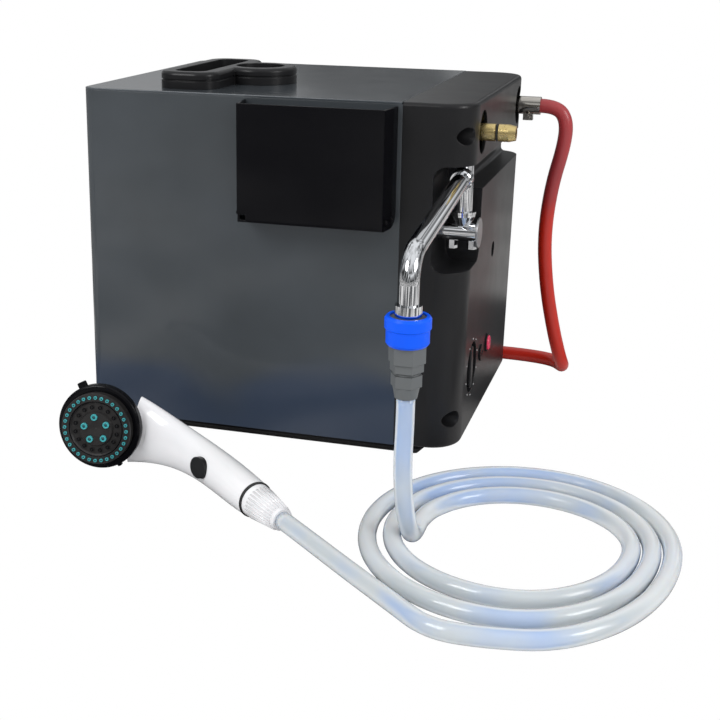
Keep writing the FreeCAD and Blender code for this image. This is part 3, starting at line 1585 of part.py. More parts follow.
def make_shower_face(head):
    """The nozzle plate, its three rings of nozzles and the ring that selects the spray."""
    low = -num("selector_gap") - 1
    inner = num("selector_inner") - num("selector_gap")
    top = num("face_height")
    lip = top + num("face_rim")
    jets = num("jet_ring")
    pulse = num("pulse_ring")
    mist = num("mist_ring")
    profile = [
        (0, low), (inner, low), (inner, lip - 1), (jets + 3.4, lip), (jets - 3.4, lip), (mist + 3.6, top),
        (pulse + 5.4, top), (pulse + 4.2, lip), (pulse - 4.2, lip), (0, lip - 0.8),
    ]
    spots = [Vector(r, 0, z) for r, z in profile]
    edges = [Part.LineSegment(a, b).toShape() for a, b in zip(spots, spots[1:] + spots[:1])]
    plate = Part.Face(Part.Wire(edges)).revolve(Vector(0, 0, 0), Vector(0, 0, 1), 360)
    keep("nozzle_plate", rigid("nozzle_plate_disc", plate, head))
    up = Vector(0, 0, 1)
    small = num("jet_radius")
    tall = num("jet_height")
    big = num("pulse_radius")
    outer = ring_of(num("jet_count"), jets, lambda at: Part.makeCylinder(small, tall, at + up * lip, up))
    centre = ring_of(num("pulse_count"), pulse, lambda at: Part.makeCylinder(big, tall, at + up * lip, up))
    keep("soft_nozzles", rigid("soft_nozzle_rings", Part.Compound(outer.Solids + centre.Solids), head))
    fine = ring_of(num("mist_count"), mist, lambda at: Part.makeCylinder(small, tall, at + up * top, up))
    keep("mist_nozzles", rigid("mist_nozzle_ring", fine, head))
    ring = Part.makeCylinder(num("selector_radius"), num("selector_height"), Vector(0, 0, low + 0.6), up)
    hole = Part.makeCylinder(num("selector_inner"), 40, Vector(0, 0, -20), up)
    rims = [e for e in ring.Edges if e.Curve.TypeId == "Part::GeomCircle"]
    ring = ring.makeFillet(2.4, rims).cut(hole)
    for angle, width, reach in ((-52, 8, 4.6), (128, 4, 2.2)):
        tab = Part.makeBox(
            num("selector_radius") + reach - 33, width, 3.4, Vector(33, -width / 2, low + 1.2)
        )
        tab = tab.makeFillet(1.2, [e for e in tab.Edges if e.BoundBox.ZLength > 3 and e.BoundBox.XMin > 34])
        tab.Placement = Placement(Vector(0, 0, 0), Rotation(up, angle))
        ring = ring.fuse(tab)
    keep("spray_selector", rigid("spray_selector_ring", ring.removeSplitter(), head))


def make_controls():
    """The flame knob on its spindle, the ignition button in its bezel and the power socket."""
    floor = f"({FRONT} - front_lean - knob_recess_depth)"
    foot = f"({floor} + knob_gap)"
    at = ("knob_y", "control_height")
    disc = new_body("knob_disc_body")
    face = ring_sketch(disc, "YZ_Plane", "knob_outline", at, "knob_radius", foot)
    pad(disc, face, "knob_disc", "knob_base")
    rim = num(f"{foot} + knob_base")
    soften(disc, "knob_rim", "Fillet", "knob_base / 3", lambda e: near(e.BoundBox.XMin, rim))
    half = "(knob_grip_width / 2)"
    bar = new_body("knob_bar_body")
    grip = outline(
        bar, "YZ_Plane", "knob_bar_outline",
        rectangle(f"knob_y - {half}", f"knob_y + {half}", "control_height - knob_radius + 2",
                  "control_height + knob_radius - 2"),
        f"{foot} + knob_base - 1",
    )
    pad(bar, grip, "knob_bar", "knob_grip_height + 1")
    soften(
        bar, "knob_bar_ends", "Fillet", "knob_grip_width / 2.5",
        lambda e: e.BoundBox.XLength > 5 and e.BoundBox.YLength < 0.1,
    )
    bar_top = num(f"{foot} + knob_base + knob_grip_height")
    soften(bar, "knob_bar_top", "Fillet", "1.5", lambda e: near(e.BoundBox.XMin, bar_top))
    keep("flame_knob", fuse("knob_moulding", disc, bar))
    spindle = cylinder("spindle_rod", "spindle_radius", f"{foot} - recess_seat - 2", ("recess_seat + 2",) + at, "x")
    keep("knob_spindle", spindle)
    skin = f"({FRONT} - front_lean + front_lean * (control_height - tray_height) / (heater_height - tray_height))"
    spot = ("button_y", "control_height")
    bezel = cut(
        "bezel_body",
        fuse(
            "bezel_blank",
            cylinder("bezel_flange", "bezel_radius", "bezel_height + 0.4", (f"{skin} + 0.2",) + spot, "x"),
            cylinder("bezel_barrel", "button_radius + button_gap + 0.5", "switch_depth", (f"{skin} - switch_depth + 0.2",) + spot, "x"),
        ),
        cylinder("bezel_bore", "button_radius + button_gap", "switch_depth", (f"{skin} - switch_depth + 4",) + spot, "x"),
    )
    keep("button_bezel", bezel)
    cap = new_body("button_cap_body")
    rest = f"({skin} - switch_depth + 8)"
    stem = ring_sketch(cap, "YZ_Plane", "button_outline", spot, "button_radius", rest)
    pad(cap, stem, "button_stem", "switch_depth - 8 + button_stand")
    tip = num(f"{skin} + button_stand")
    soften(cap, "button_rim", "Fillet", "button_stand / 2.4", lambda e: near(e.BoundBox.XMin, tip))
    keep("ignition_button", cap)
    here = ("socket_y", "control_height")
    socket = cut(
        "socket_body",
        fuse(
            "socket_blank",
            cylinder("socket_flange", "socket_radius + 1.4", "1.6", (f"{skin} + 0.2",) + here, "x"),
            cylinder("socket_barrel", "socket_radius", "switch_depth", (f"{skin} - switch_depth + 0.2",) + here, "x"),
        ),
        cylinder("socket_bore_tool", "socket_bore", "switch_depth", (f"{skin} - switch_depth + 6",) + here, "x"),
    )
    keep("power_socket", socket)


def check_and_export():
    """See that every object and piece is sound, and write one file for each piece."""
    doc.recompute()
    for thing in doc.Objects:
        assert "Invalid" not in thing.State and "Error" not in thing.State, f"{thing.Label} failed"
    os.makedirs("parts", exist_ok=True)
    for name, thing in NODES.items():
        shape = thing.Shape
        assert not shape.isNull() and shape.isValid() and shape.Solids, f"{name} has no sound solid"
        shape.exportStep(f"parts/{name}.step")
    print(len(NODES), "pieces")


make_tray()
make_cabinet()
make_top()
make_cover()
make_hood()
make_grille()
make_handle()
make_cover_screws()
make_chassis()
make_stack()
make_pipes()
make_valves()
make_water_connector()
make_gas_connector()
make_gas_hose()
make_tap()
make_spout()
make_shower_hose(make_coupler())
make_hand_shower()
make_controls()
check_and_export()
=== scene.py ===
import math
import bpy
from mathutils import Matrix, Vector


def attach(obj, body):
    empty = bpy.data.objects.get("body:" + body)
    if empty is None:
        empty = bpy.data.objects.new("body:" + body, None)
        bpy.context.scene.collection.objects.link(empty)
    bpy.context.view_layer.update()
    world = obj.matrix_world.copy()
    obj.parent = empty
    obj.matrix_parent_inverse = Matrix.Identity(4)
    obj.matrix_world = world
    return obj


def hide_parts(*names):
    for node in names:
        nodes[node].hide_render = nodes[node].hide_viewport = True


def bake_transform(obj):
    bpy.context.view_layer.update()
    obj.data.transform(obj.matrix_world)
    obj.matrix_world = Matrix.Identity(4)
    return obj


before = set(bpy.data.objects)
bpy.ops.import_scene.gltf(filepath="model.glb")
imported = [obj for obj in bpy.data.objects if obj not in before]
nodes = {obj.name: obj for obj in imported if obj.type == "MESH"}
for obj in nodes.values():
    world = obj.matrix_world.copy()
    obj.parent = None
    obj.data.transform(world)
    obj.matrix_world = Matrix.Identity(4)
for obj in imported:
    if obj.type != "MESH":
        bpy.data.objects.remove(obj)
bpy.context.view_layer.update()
scene = bpy.context.scene


def millimetres(points):
    return [Vector(p) * 0.001 for p in points]


def evaluatedMesh(piece):
    bpy.context.view_layer.update()
    return bpy.data.meshes.new_from_object(piece.evaluated_get(bpy.context.evaluated_depsgraph_get()))


# Small groups of shader nodes; each call adds its nodes to the tree and returns the output socket
def noise(tree, place, scale, detail, stretch=(1, 1, 1)):
    mapping = tree.nodes.new("ShaderNodeMapping")
    mapping.inputs["Scale"].default_value = stretch
    tree.links.new(place, mapping.inputs["Vector"])
    node = tree.nodes.new("ShaderNodeTexNoise")
    node.inputs["Scale"].default_value = scale
    node.inputs["Detail"].default_value = detail
    tree.links.new(mapping.outputs["Vector"], node.inputs["Vector"])
    return node.outputs["Fac"]


def colourRamp(tree, value, stops):
    node = tree.nodes.new("ShaderNodeValToRGB")
    elements = node.color_ramp.elements
    while len(elements) < len(stops):
        elements.new(0.5)
    for element, (at, colour) in zip(elements, stops):
        element.position = at
        element.color = (*colour, 1)
    tree.links.new(value, node.inputs["Fac"])
    return node.outputs["Color"]


def mixColour(tree, share, *colours):  # each of the two colours is a plain one or a socket
    node = tree.nodes.new("ShaderNodeMix")
    node.data_type = "RGBA"
    tree.links.new(share, node.inputs[0])
    for socket, colour in zip((node.inputs[6], node.inputs[7]), colours):
        if isinstance(colour, tuple):
            socket.default_value = (*colour, 1)
        else:
            tree.links.new(colour, socket)
    return node.outputs[2]


def rescale(tree, value, fromEnds, toEnds, curve="LINEAR"):
    node = tree.nodes.new("ShaderNodeMapRange")
    node.interpolation_type = curve
    for socket, end in zip(("From Min", "From Max", "To Min", "To Max"), (*fromEnds, *toEnds)):
        node.inputs[socket].default_value = end
    tree.links.new(value, node.inputs["Value"])
    return node.outputs["Result"]


def bump(tree, height, strength, distance, normal=None):
    node = tree.nodes.new("ShaderNodeBump")
    node.inputs["Strength"].default_value = strength
    node.inputs["Distance"].default_value = distance
    tree.links.new(height, node.inputs["Height"])
    if normal is not None:
        tree.links.new(normal, node.inputs["Normal"])
    return node.outputs["Normal"]


def newMaterial(name):
    material = bpy.data.materials.new(name)
    material.use_nodes = True
    tree = material.node_tree
    place = tree.nodes.new("ShaderNodeTexCoord").outputs["Object"]
    return material, tree, tree.nodes["Principled BSDF"], place


# Materials: tone, gloss and relief of each vary with noise, at sizes that all finishes share
texture = {
    "toneScale": 9, "toneEnds": (0.35, 0.65),
    "glossScale": 40,
    "grainScale": 900, "grainHeight": 0.0002,
    "waveScale": 5, "waveHeight": 0.004,
    "driftScale": 7, "driftReach": -0.16,  # how far the edge of a lower tint wanders
    "edgeSamples": 4,
}


def surface(name, look):
    material, tree, shader, place = newMaterial(name)
    tone = noise(tree, place, texture["toneScale"], 3)
    colour = colourRamp(tree, tone, list(zip(texture["toneEnds"], (look["dark"], look["light"]))))
    # on the slate paint this lower tint is a painted reflection, bluish and darker; on the gas hose it is a
    # brighter, more orange red
    if "low" in look:  # another tint towards the floor, with a wavy edge
        parts = tree.nodes.new("ShaderNodeSeparateXYZ")
        tree.links.new(place, parts.inputs["Vector"])
        drift = tree.nodes.new("ShaderNodeMath")
        drift.operation = "MULTIPLY_ADD"
        drift.inputs[1].default_value = texture["driftReach"]
        tree.links.new(noise(tree, place, texture["driftScale"], 1, (1, 1, 2)), drift.inputs[0])
        tree.links.new(parts.outputs["Z"], drift.inputs[2])
        share = rescale(tree, drift.outputs["Value"], look["fade"], (1, 0), "SMOOTHSTEP")
        colour = mixColour(tree, share, colour, look["low"])
    tree.links.new(colour, shader.inputs["Base Color"])
    gloss = noise(tree, place, texture["glossScale"], 4)
    tree.links.new(rescale(tree, gloss, (0, 1), look["rough"]), shader.inputs["Roughness"])
    normal = None
    if "edge" in look:  # softened edges that catch the light
        rounding = tree.nodes.new("ShaderNodeBevel")
        rounding.samples = texture["edgeSamples"]
        rounding.inputs["Radius"].default_value = look["edge"]
        normal = rounding.outputs["Normal"]
    grain = noise(tree, place, look.get("grain", texture["grainScale"]), 2, look.get("stretch", (1, 1, 1)))
    normal = bump(tree, grain, look["relief"], look.get("height", texture["grainHeight"]), normal)
    if "wave" in look:  # slow waves in sheet metal
        waves = noise(tree, place, texture["waveScale"], 1)
        normal = bump(tree, waves, look["wave"], texture["waveHeight"], normal)
    tree.links.new(normal, shader.inputs["Normal"])
    for socket, value in look.get("set", {}).items():
        shader.inputs[socket].default_value = value
    return material


looks = {
    "slatePaint": {
        "dark": (0.042, 0.048, 0.053), "light": (0.051, 0.058, 0.065), "rough": (0.13, 0.2), "relief": 0.04,
        # painted reflection: the low tint makes the slate paint bluish and darker towards the floor
        "low": (0.031, 0.043, 0.068), "fade": (-0.045, 0.01), "edge": 0.0012, "wave": 0.16,
        "set": {"Specular IOR Level": 0.35, "Coat Weight": 0.12, "Coat Roughness": 0.08},
    },
    "topPlate": {
        "dark": (0.048, 0.056, 0.064), "light": (0.056, 0.065, 0.074), "rough": (0.12, 0.2), "relief": 0.04,
        "edge": 0.001, "set": {"Coat Weight": 0.5, "Coat Roughness": 0.05},
    },
    "blackMoulding": {
        "dark": (0.008, 0.008, 0.009), "light": (0.012, 0.012, 0.013), "rough": (0.27, 0.34), "relief": 0.2,
        "grain": 1400, "height": 0.0001, "edge": 0.0012, "set": {"Specular IOR Level": 0.3},
    },
    "glossBlack": {
        "dark": (0.002, 0.002, 0.003), "light": (0.004, 0.004, 0.005), "rough": (0.1, 0.17), "relief": 0.04,
        "edge": 0.0012, "set": {"Specular IOR Level": 0.16},
    },
    "steel": {
        "dark": (0.42, 0.42, 0.43), "light": (0.52, 0.52, 0.53), "rough": (0.24, 0.38), "relief": 0.2,
        "stretch": (1, 12, 1), "set": {"Metallic": 1.0},
    },
    "copper": {
        "dark": (0.55, 0.25, 0.14), "light": (0.7, 0.34, 0.2), "rough": (0.22, 0.36), "relief": 0.1,
        "set": {"Metallic": 1.0},
    },
    "brass": {
        "dark": (0.74, 0.57, 0.24), "light": (0.86, 0.68, 0.33), "rough": (0.22, 0.32), "relief": 0.12,
        "stretch": (14, 1, 1), "set": {"Metallic": 1.0},
    },
    "nickel": {
        "dark": (0.5, 0.47, 0.43), "light": (0.68, 0.65, 0.6), "rough": (0.08, 0.14), "relief": 0.08,
        "set": {"Metallic": 1.0},
    },
    "chrome": {
        "dark": (0.78, 0.79, 0.81), "light": (0.84, 0.85, 0.87), "rough": (0.035, 0.07), "relief": 0.02,
        "set": {"Metallic": 1.0},
    },
    "seal": {"dark": (0.012, 0.012, 0.012), "light": (0.02, 0.02, 0.02), "rough": (0.5, 0.62), "relief": 0.2},
    "gasHose": {
        "dark": (0.26, 0.026, 0.03), "light": (0.33, 0.036, 0.04), "rough": (0.27, 0.36), "relief": 0.15,
        "low": (0.47, 0.016, 0.006), "fade": (0.09, 0.19), "grain": 600,
        "set": {"Coat Weight": 0.15, "Coat Roughness": 0.2},
    },
    "couplerBlue": {
        "dark": (0.001, 0.085, 0.78), "light": (0.002, 0.115, 0.9), "rough": (0.26, 0.34), "relief": 0.08,
        "set": {"Specular IOR Level": 0.2},
    },
    "couplerGrey": {
        "dark": (0.11, 0.118, 0.122), "light": (0.145, 0.153, 0.158), "rough": (0.34, 0.44), "relief": 0.15,
        "edge": 0.0007,
    },
    "whiteGloss": {
        "dark": (0.74, 0.74, 0.76), "light": (0.8, 0.8, 0.81), "rough": (0.12, 0.18), "relief": 0.03,
        "set": {"Coat Weight": 0.5, "Coat Roughness": 0.04, "Subsurface Weight": 0.08,
                "Subsurface Radius": (0.004, 0.003, 0.003)},
    },
    "facePlate": {
        "dark": (0.014, 0.013, 0.013), "light": (0.026, 0.024, 0.024), "rough": (0.3, 0.42), "relief": 0.15,
    },
    "teal": {
        "dark": (0.035, 0.32, 0.35), "light": (0.06, 0.42, 0.44), "rough": (0.34, 0.44), "relief": 0.12,
        "set": {"Subsurface Weight": 0.15, "Subsurface Radius": (0.001, 0.002, 0.002)},
    },
    # painted shade: the dark pegs in the nozzles stand for the shade inside their openings
    "holeShade": {
        "dark": (0.008, 0.05, 0.06), "light": (0.012, 0.07, 0.08), "rough": (0.4, 0.5), "relief": 0.1,
    },
    "buttonRed": {
        "dark": (0.56, 0.018, 0.07), "light": (0.68, 0.03, 0.1), "rough": (0.2, 0.28), "relief": 0.06,
        "set": {"Coat Weight": 0.4, "Coat Roughness": 0.08},
    },
    "whiteMark": {"dark": (0.7, 0.7, 0.7), "light": (0.8, 0.8, 0.8), "rough": (0.4, 0.5), "relief": 0.1},
}
materials = {name: surface(name, look) for name, look in looks.items()}
print("materials made", len(materials))

# The clear hose is milky plastic, bluish in slow patches along it; the whiter bands where it is seen edge on
# are painted sheen
hoseLook = {
    "blue": (0.46, 0.6, 0.86), "pale": (0.66, 0.71, 0.74), "edge": (0.9, 0.93, 0.95),
    "patchScale": 11, "patchEnds": (0.42, 0.6),
    # painted sheen: how far the colour turns to the edge's, from the middle of the hose to its outline
    "wall": ((0.0, 0.15), (0.3, 0.0), (0.45, 0.75), (0.65, 1.0), (0.92, 0.25)),
    "grain": 160, "relief": 0.12, "height": 0.0004,
    "set": {
        "Roughness": 0.14, "IOR": 1.44, "Transmission Weight": 0.35, "Subsurface Weight": 0.5,
        "Subsurface Radius": (0.006, 0.007, 0.008), "Coat Weight": 0.5, "Coat Roughness": 0.05,
    },
}


def clearHose():
    material, tree, shader, place = newMaterial("clearHose")
    patches = noise(tree, place, hoseLook["patchScale"], 2)
    tints = list(zip(hoseLook["patchEnds"], (hoseLook["pale"], hoseLook["blue"])))
    # painted light: by the view angle the colour whitens in bands towards the outline, with a darker line
    # between
    facing = tree.nodes.new("ShaderNodeLayerWeight")
    facing.inputs["Blend"].default_value = 0.5
    wall = [(at, (level, level, level)) for at, level in hoseLook["wall"]]
    share = colourRamp(tree, facing.outputs["Facing"], wall)
    colour = mixColour(tree, share, colourRamp(tree, patches, tints), hoseLook["edge"])
    tree.links.new(colour, shader.inputs["Base Color"])
    grain = noise(tree, place, hoseLook["grain"], 2)
    tree.links.new(bump(tree, grain, hoseLook["relief"], hoseLook["height"]), shader.inputs["Normal"])
    for socket, value in hoseLook["set"].items():
        shader.inputs[socket].default_value = value
    return material


materials["clearHose"] = clearHose()

finishes = {
    "slatePaint": ["cabinet_shell"],
    "topPlate": ["top_panel"],
    "blackMoulding": [
        "front_cover", "handle_grip", "handle_well", "dish_cap", "ignition_module", "battery_box",
        "flame_knob", "button_bezel", "power_socket", "handset_button", "mist_nozzles",
    ],
    "glossBlack": ["exhaust_hood", "hood_rivets", "base_tray", "spray_selector"],
    "steel": [
        "exhaust_grille", "cover_screws", "chassis_plate", "burner", "flue_duct", "battery_cells",
        "knob_spindle", "tap_end_disc",
    ],
    "copper": ["combustion_chamber", "heat_exchanger", "cold_water_pipe", "hot_water_pipe", "gas_pipe"],
    "brass": ["gas_valve", "water_valve", "flame_control", "water_connector", "gas_union"],
    "nickel": ["gas_connector", "gas_hose_clamp"],
    "chrome": ["tap_body", "tap_plugs", "spout_column", "spout_tube", "spout_nut", "spout_collar"],
    "seal": ["connector_oring", "handset_ring"],
    "couplerBlue": ["coupler_collar"],
    "couplerGrey": ["coupler_insert", "coupler_body", "hose_nut"],
    "whiteGloss": ["handset_body", "handset_nut", "spark_electrode"],
    "facePlate": ["nozzle_plate"],
    "teal": ["soft_nozzles"],
    "buttonRed": ["ignition_button"],
}
for finish, names in finishes.items():
    for name in names:
        mesh = nodes[name].data
        mesh.materials.clear()
        mesh.materials.append(materials[finish])


def link(name, mesh, material, body):
    piece = bpy.data.objects.new(name, mesh)
    scene.collection.objects.link(piece)
    if material:
        mesh.materials.clear()
        mesh.materials.append(materials[material])
    if body:
        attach(piece, body)
    return piece


# Cords: each is one NURBS spline through its route's own points, which are in millimetres
def nurbs(name, points, radius=0.0):
    curve = bpy.data.curves.new(name, "CURVE")
    curve.dimensions = "3D"
    curve.bevel_depth = radius
    curve.bevel_resolution = 6
    curve.use_fill_caps = True
    curve.resolution_u = 8
    spline = curve.splines.new("NURBS")
    spline.points.add(len(points) - 1)
    for point, at in zip(spline.points, points):
        point.co = (*at, 1)
    spline.order_u = 3
    spline.use_endpoint_u = True
    return curve


perQuarter = 4  # points in each quarter turn


def turns(centre, compass, reaches, quarters):
    swell = 1 / math.cos(math.pi / 4 / perQuarter)  # the spline touches the middles of its control lines
    points = []
    for k in range(quarters):
        out, across = compass[k % 4] * reaches[k], compass[(k + 1) % 4] * reaches[k + 1]
        for i in range(perQuarter):
            angle = math.pi / 2 * i / perQuarter
            points.append(centre + out * math.cos(angle) * swell + across * math.sin(angle) * swell)
    return points


def tube(name, path, radius, sides):
    rings = []
    side = None
    angles = [2 * math.pi * j / sides for j in range(sides)]
    for i, at in enumerate(path):
        ahead = (path[min(i + 1, len(path) - 1)] - path[max(i - 1, 0)]).normalized()
        side = ahead.orthogonal() if side is None else side - ahead * side.dot(ahead)
        side = side.normalized()
        up = ahead.cross(side)
        rings.append([at + (side * math.cos(a) + up * math.sin(a)) * radius for a in angles])
    points = [p for ring in rings for p in ring]
    faces = []
    for i in range(len(rings) - 1):
        for j in range(sides):
            k = (j + 1) % sides
            faces.append((i * sides + j, i * sides + k, (i + 1) * sides + k, (i + 1) * sides + j))
    faces.append(tuple(reversed(range(sides))))
    faces.append(tuple(range((len(rings) - 1) * sides, len(rings) * sides)))
    mesh = bpy.data.meshes.new(name)
    mesh.from_pydata(points, [], faces)
    mesh.shade_smooth()
    mesh.update()
    return mesh


north, south, east, west = Vector((0, 1, 0)), Vector((0, -1, 0)), Vector((1, 0, 0)), Vector((-1, 0, 0))
hand = {  # how the hand shower lies: the end of its nut, its turns in degrees, and its head's place and turn
    "at": (77.1, -349.5, 14), "turn": 141.7, "tilt": -3.75, "roll": 12.3,
    "head": (217.5, 56.8, 0), "headTurn": 43,
}
handFrame = (
    Matrix.Translation(hand["at"]) @ Matrix.Rotation(math.radians(hand["turn"]), 4, "Z")
    @ Matrix.Rotation(math.radians(hand["tilt"]), 4, "Y")
    @ Matrix.Rotation(math.radians(hand["roll"]), 4, "X")
)
hose = {
    "radius": 0.0075, "sides": 20, "length": 2.31, "centre": Vector((266, -308, 7.5)), "quarters": 11,
    # west, north, east and south: how far the first turn reaches, and what each later one adds
    "reach": ((84, 19.5), (84, 23), (88, 16), (106, 30)),
    "entry": Vector((1.6, 9, 0)),  # how far the loops' first point gives way to the drop
}
hoseReach = [first + growth * turn for turn in range(3) for first, growth in hose["reach"]]
loops = turns(hose["centre"], [west, north, east, south], hoseReach, hose["quarters"])
loops[0] = loops[0] + hose["entry"]
hosePoints = [Vector(p) for p in (
    (175, -340, 128.6), (175, -340, 106.6), (175, -345, 70.6), (178, -347, 38.6), (181.5, -341, 15),
    (182, -328, 7.5), (182, -314, 7.5),
)]
hosePoints += loops
hosePoints += [Vector(p) for p in ((266, -474, 7.5), (225, -474, 7.5), (193, -445, 7.5), (150, -407, 7.5))]
hosePoints += [handFrame @ Vector((-34, 0, 0)), handFrame @ Vector((0, 0, 0))]
hosePoints = millimetres(hosePoints)
route = bpy.data.objects.new("hoseRoute", nurbs("hoseRoute", hosePoints))
scene.collection.objects.link(route)
path = [v.co.copy() for v in evaluatedMesh(route).vertices]
bpy.data.objects.remove(route)

hoseMesh = tube("showerHose", path, hose["radius"], hose["sides"])
showerHose = link("showerHose", hoseMesh, "clearHose", None)
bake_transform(showerHose)
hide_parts("shower_hose_drop", "shower_hose_loops", "shower_hose_lead")
hoseLength = sum((a - b).length for a, b in zip(path, path[1:]))
print("shower hose points", len(path), "length", round(hoseLength, 3))

gas = {
    "radius": 0.0075, "centre": Vector((45, 272, 7.5)), "quarters": 8,
    "reach": 91, "step": 4, "tuck": 9,  # each quarter turn reaches less than the last, and the end less still
    "rise": 21.9,  # the end lies on top of the coil
}
gasReach = [gas["reach"] - gas["step"] * k for k in range(gas["quarters"] + 1)]
gasReach[-1] -= gas["tuck"]
coil = turns(gas["centre"], [south, west, north, east], gasReach, gas["quarters"])
lastQuarter = perQuarter * (gas["quarters"] - 1)
for i in range(1, perQuarter):
    share = i / perQuarter
    coil[lastQuarter + i].z += gas["rise"] * share * share * (3 - 2 * share)
gasPoints = [Vector(p) for p in (
    (211, 116, 305), (228, 116, 305), (239, 116, 291), (238, 117, 265), (227, 117, 220), (222, 118, 165),
    (227, 120, 110), (237, 123, 60), (246, 130, 24), (249, 148, 7.5), (236, 172, 7.5), (199, 181, 7.5),
    (145, 181, 7.5),
)]
gasPoints += coil + [Vector((45, 222, 29.4)), Vector((30, 222, 29.4))]
gasCurve = nurbs("gasHose", millimetres(gasPoints), gas["radius"])
gasHose = link("gasHose", gasCurve, "gasHose", "heater")
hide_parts("gas_hose_run", "gas_hose_coil")
print("cords made")

# Repeated details: one node tree sets pegs or small rings on a circle
sides = {"peg": 14, "hoop": 20, "wire": 8}


def circleTree(kind):
    tree = bpy.data.node_groups.new(kind + "Circle", "GeometryNodeTree")
    sockets = [
        ("Geometry", "NodeSocketGeometry"), ("Count", "NodeSocketInt"), ("Circle Radius", "NodeSocketFloat"),
        ("Thickness", "NodeSocketFloat"), ("Length", "NodeSocketFloat"), ("Tilt", "NodeSocketFloat"),
        ("Material", "NodeSocketMaterial"),
    ]
    for name, form in sockets:
        tree.interface.new_socket(name, in_out="INPUT", socket_type=form)
    tree.interface.new_socket("Geometry", in_out="OUTPUT", socket_type="NodeSocketGeometry")
    given = tree.nodes.new("NodeGroupInput")
    result = tree.nodes.new("NodeGroupOutput")
    circle = tree.nodes.new("GeometryNodeMeshCircle")
    tree.links.new(given.outputs["Count"], circle.inputs["Vertices"])
    tree.links.new(given.outputs["Circle Radius"], circle.inputs["Radius"])
    if kind == "peg":
        form = tree.nodes.new("GeometryNodeMeshCylinder")
        form.inputs["Vertices"].default_value = sides["peg"]
        tree.links.new(given.outputs["Thickness"], form.inputs["Radius"])
        tree.links.new(given.outputs["Length"], form.inputs["Depth"])
    else:
        form = tree.nodes.new("GeometryNodeCurveToMesh")
        rings = (("Length", "hoop", "Curve"), ("Thickness", "wire", "Profile Curve"))
        for size, part, socket in rings:
            ring = tree.nodes.new("GeometryNodeCurvePrimitiveCircle")
            ring.inputs["Resolution"].default_value = sides[part]
            tree.links.new(given.outputs[size], ring.inputs["Radius"])
            tree.links.new(ring.outputs["Curve"], form.inputs[socket])
    index = tree.nodes.new("GeometryNodeInputIndex")
    turn = tree.nodes.new("ShaderNodeMath")
    turn.operation = "DIVIDE"
    turn.inputs[0].default_value = 2 * math.pi
    tree.links.new(given.outputs["Count"], turn.inputs[1])
    angle = tree.nodes.new("ShaderNodeMath")
    angle.operation = "MULTIPLY"
    tree.links.new(index.outputs["Index"], angle.inputs[0])
    tree.links.new(turn.outputs["Value"], angle.inputs[1])
    euler = tree.nodes.new("ShaderNodeCombineXYZ")
    tree.links.new(given.outputs["Tilt"], euler.inputs["Y"])
    tree.links.new(angle.outputs["Value"], euler.inputs["Z"])
    spread = tree.nodes.new("GeometryNodeInstanceOnPoints")
    tree.links.new(circle.outputs["Mesh"], spread.inputs["Points"])
    tree.links.new(form.outputs["Mesh"], spread.inputs["Instance"])
    tree.links.new(euler.outputs["Vector"], spread.inputs["Rotation"])
    real = tree.nodes.new("GeometryNodeRealizeInstances")
    tree.links.new(spread.outputs["Instances"], real.inputs["Geometry"])
    paint = tree.nodes.new("GeometryNodeSetMaterial")
    tree.links.new(real.outputs["Geometry"], paint.inputs["Geometry"])
    tree.links.new(given.outputs["Material"], paint.inputs["Material"])
    tree.links.new(paint.outputs["Geometry"], result.inputs["Geometry"])
    return tree


trees = {kind: circleTree(kind) for kind in ("peg", "hoop")}


def circleOf(name, detail):
    base = bpy.data.objects.new(name + "Base", bpy.data.meshes.new(name + "Base"))
    scene.collection.objects.link(base)
    modifier = base.modifiers.new("circle", "NODES")
    modifier.node_group = trees[detail["kind"]]
    values = {
        "Count": detail["count"], "Circle Radius": detail["circle"] * 0.001,
        "Thickness": detail["thick"] * 0.001, "Length": detail["long"] * 0.001,
        "Tilt": math.radians(detail.get("tilt", 0)), "Material": materials[detail["material"]],
    }
    for item in modifier.node_group.interface.items_tree:
        if item.in_out == "INPUT" and item.name in values:
            modifier[item.identifier] = values[item.name]
    base.update_tag()
    mesh = evaluatedMesh(base)
    bpy.data.objects.remove(base)
    mesh.name = name
    toMetres, toMillimetres = Matrix.Scale(0.001, 4), Matrix.Scale(1000, 4)
    mesh.transform(toMetres @ detail["place"] @ toMillimetres)
    mesh.shade_smooth()
    return link(name, mesh, None, detail["body"])


headAngle = math.radians(hand["headTurn"])
along = Vector((math.cos(headAngle), math.sin(headAngle), 0))
outward = Vector((-math.sin(headAngle), math.cos(headAngle), 0))
headTurn = Matrix((along, outward.cross(along), outward)).transposed().to_4x4()
headFrame = handFrame @ Matrix.Translation(hand["head"]) @ headTurn
toX = Matrix.Rotation(math.pi / 2, 4, "Y")
dial = {"y": -88, "z": 75, "proud": 0.1}
cover = {"footX": 182.5, "footZ": 12, "lean": 5, "height": 323}  # the front cover leans out as it rises
skin = cover["footX"] + cover["lean"] * (dial["z"] - cover["footZ"]) / cover["height"]
lean = Matrix.Rotation(math.atan2(cover["lean"], cover["height"]), 4, "Y")


def onFace(height):  # a height above the middle of the shower head's frame
    return headFrame @ Matrix.Translation((0, 0, height))


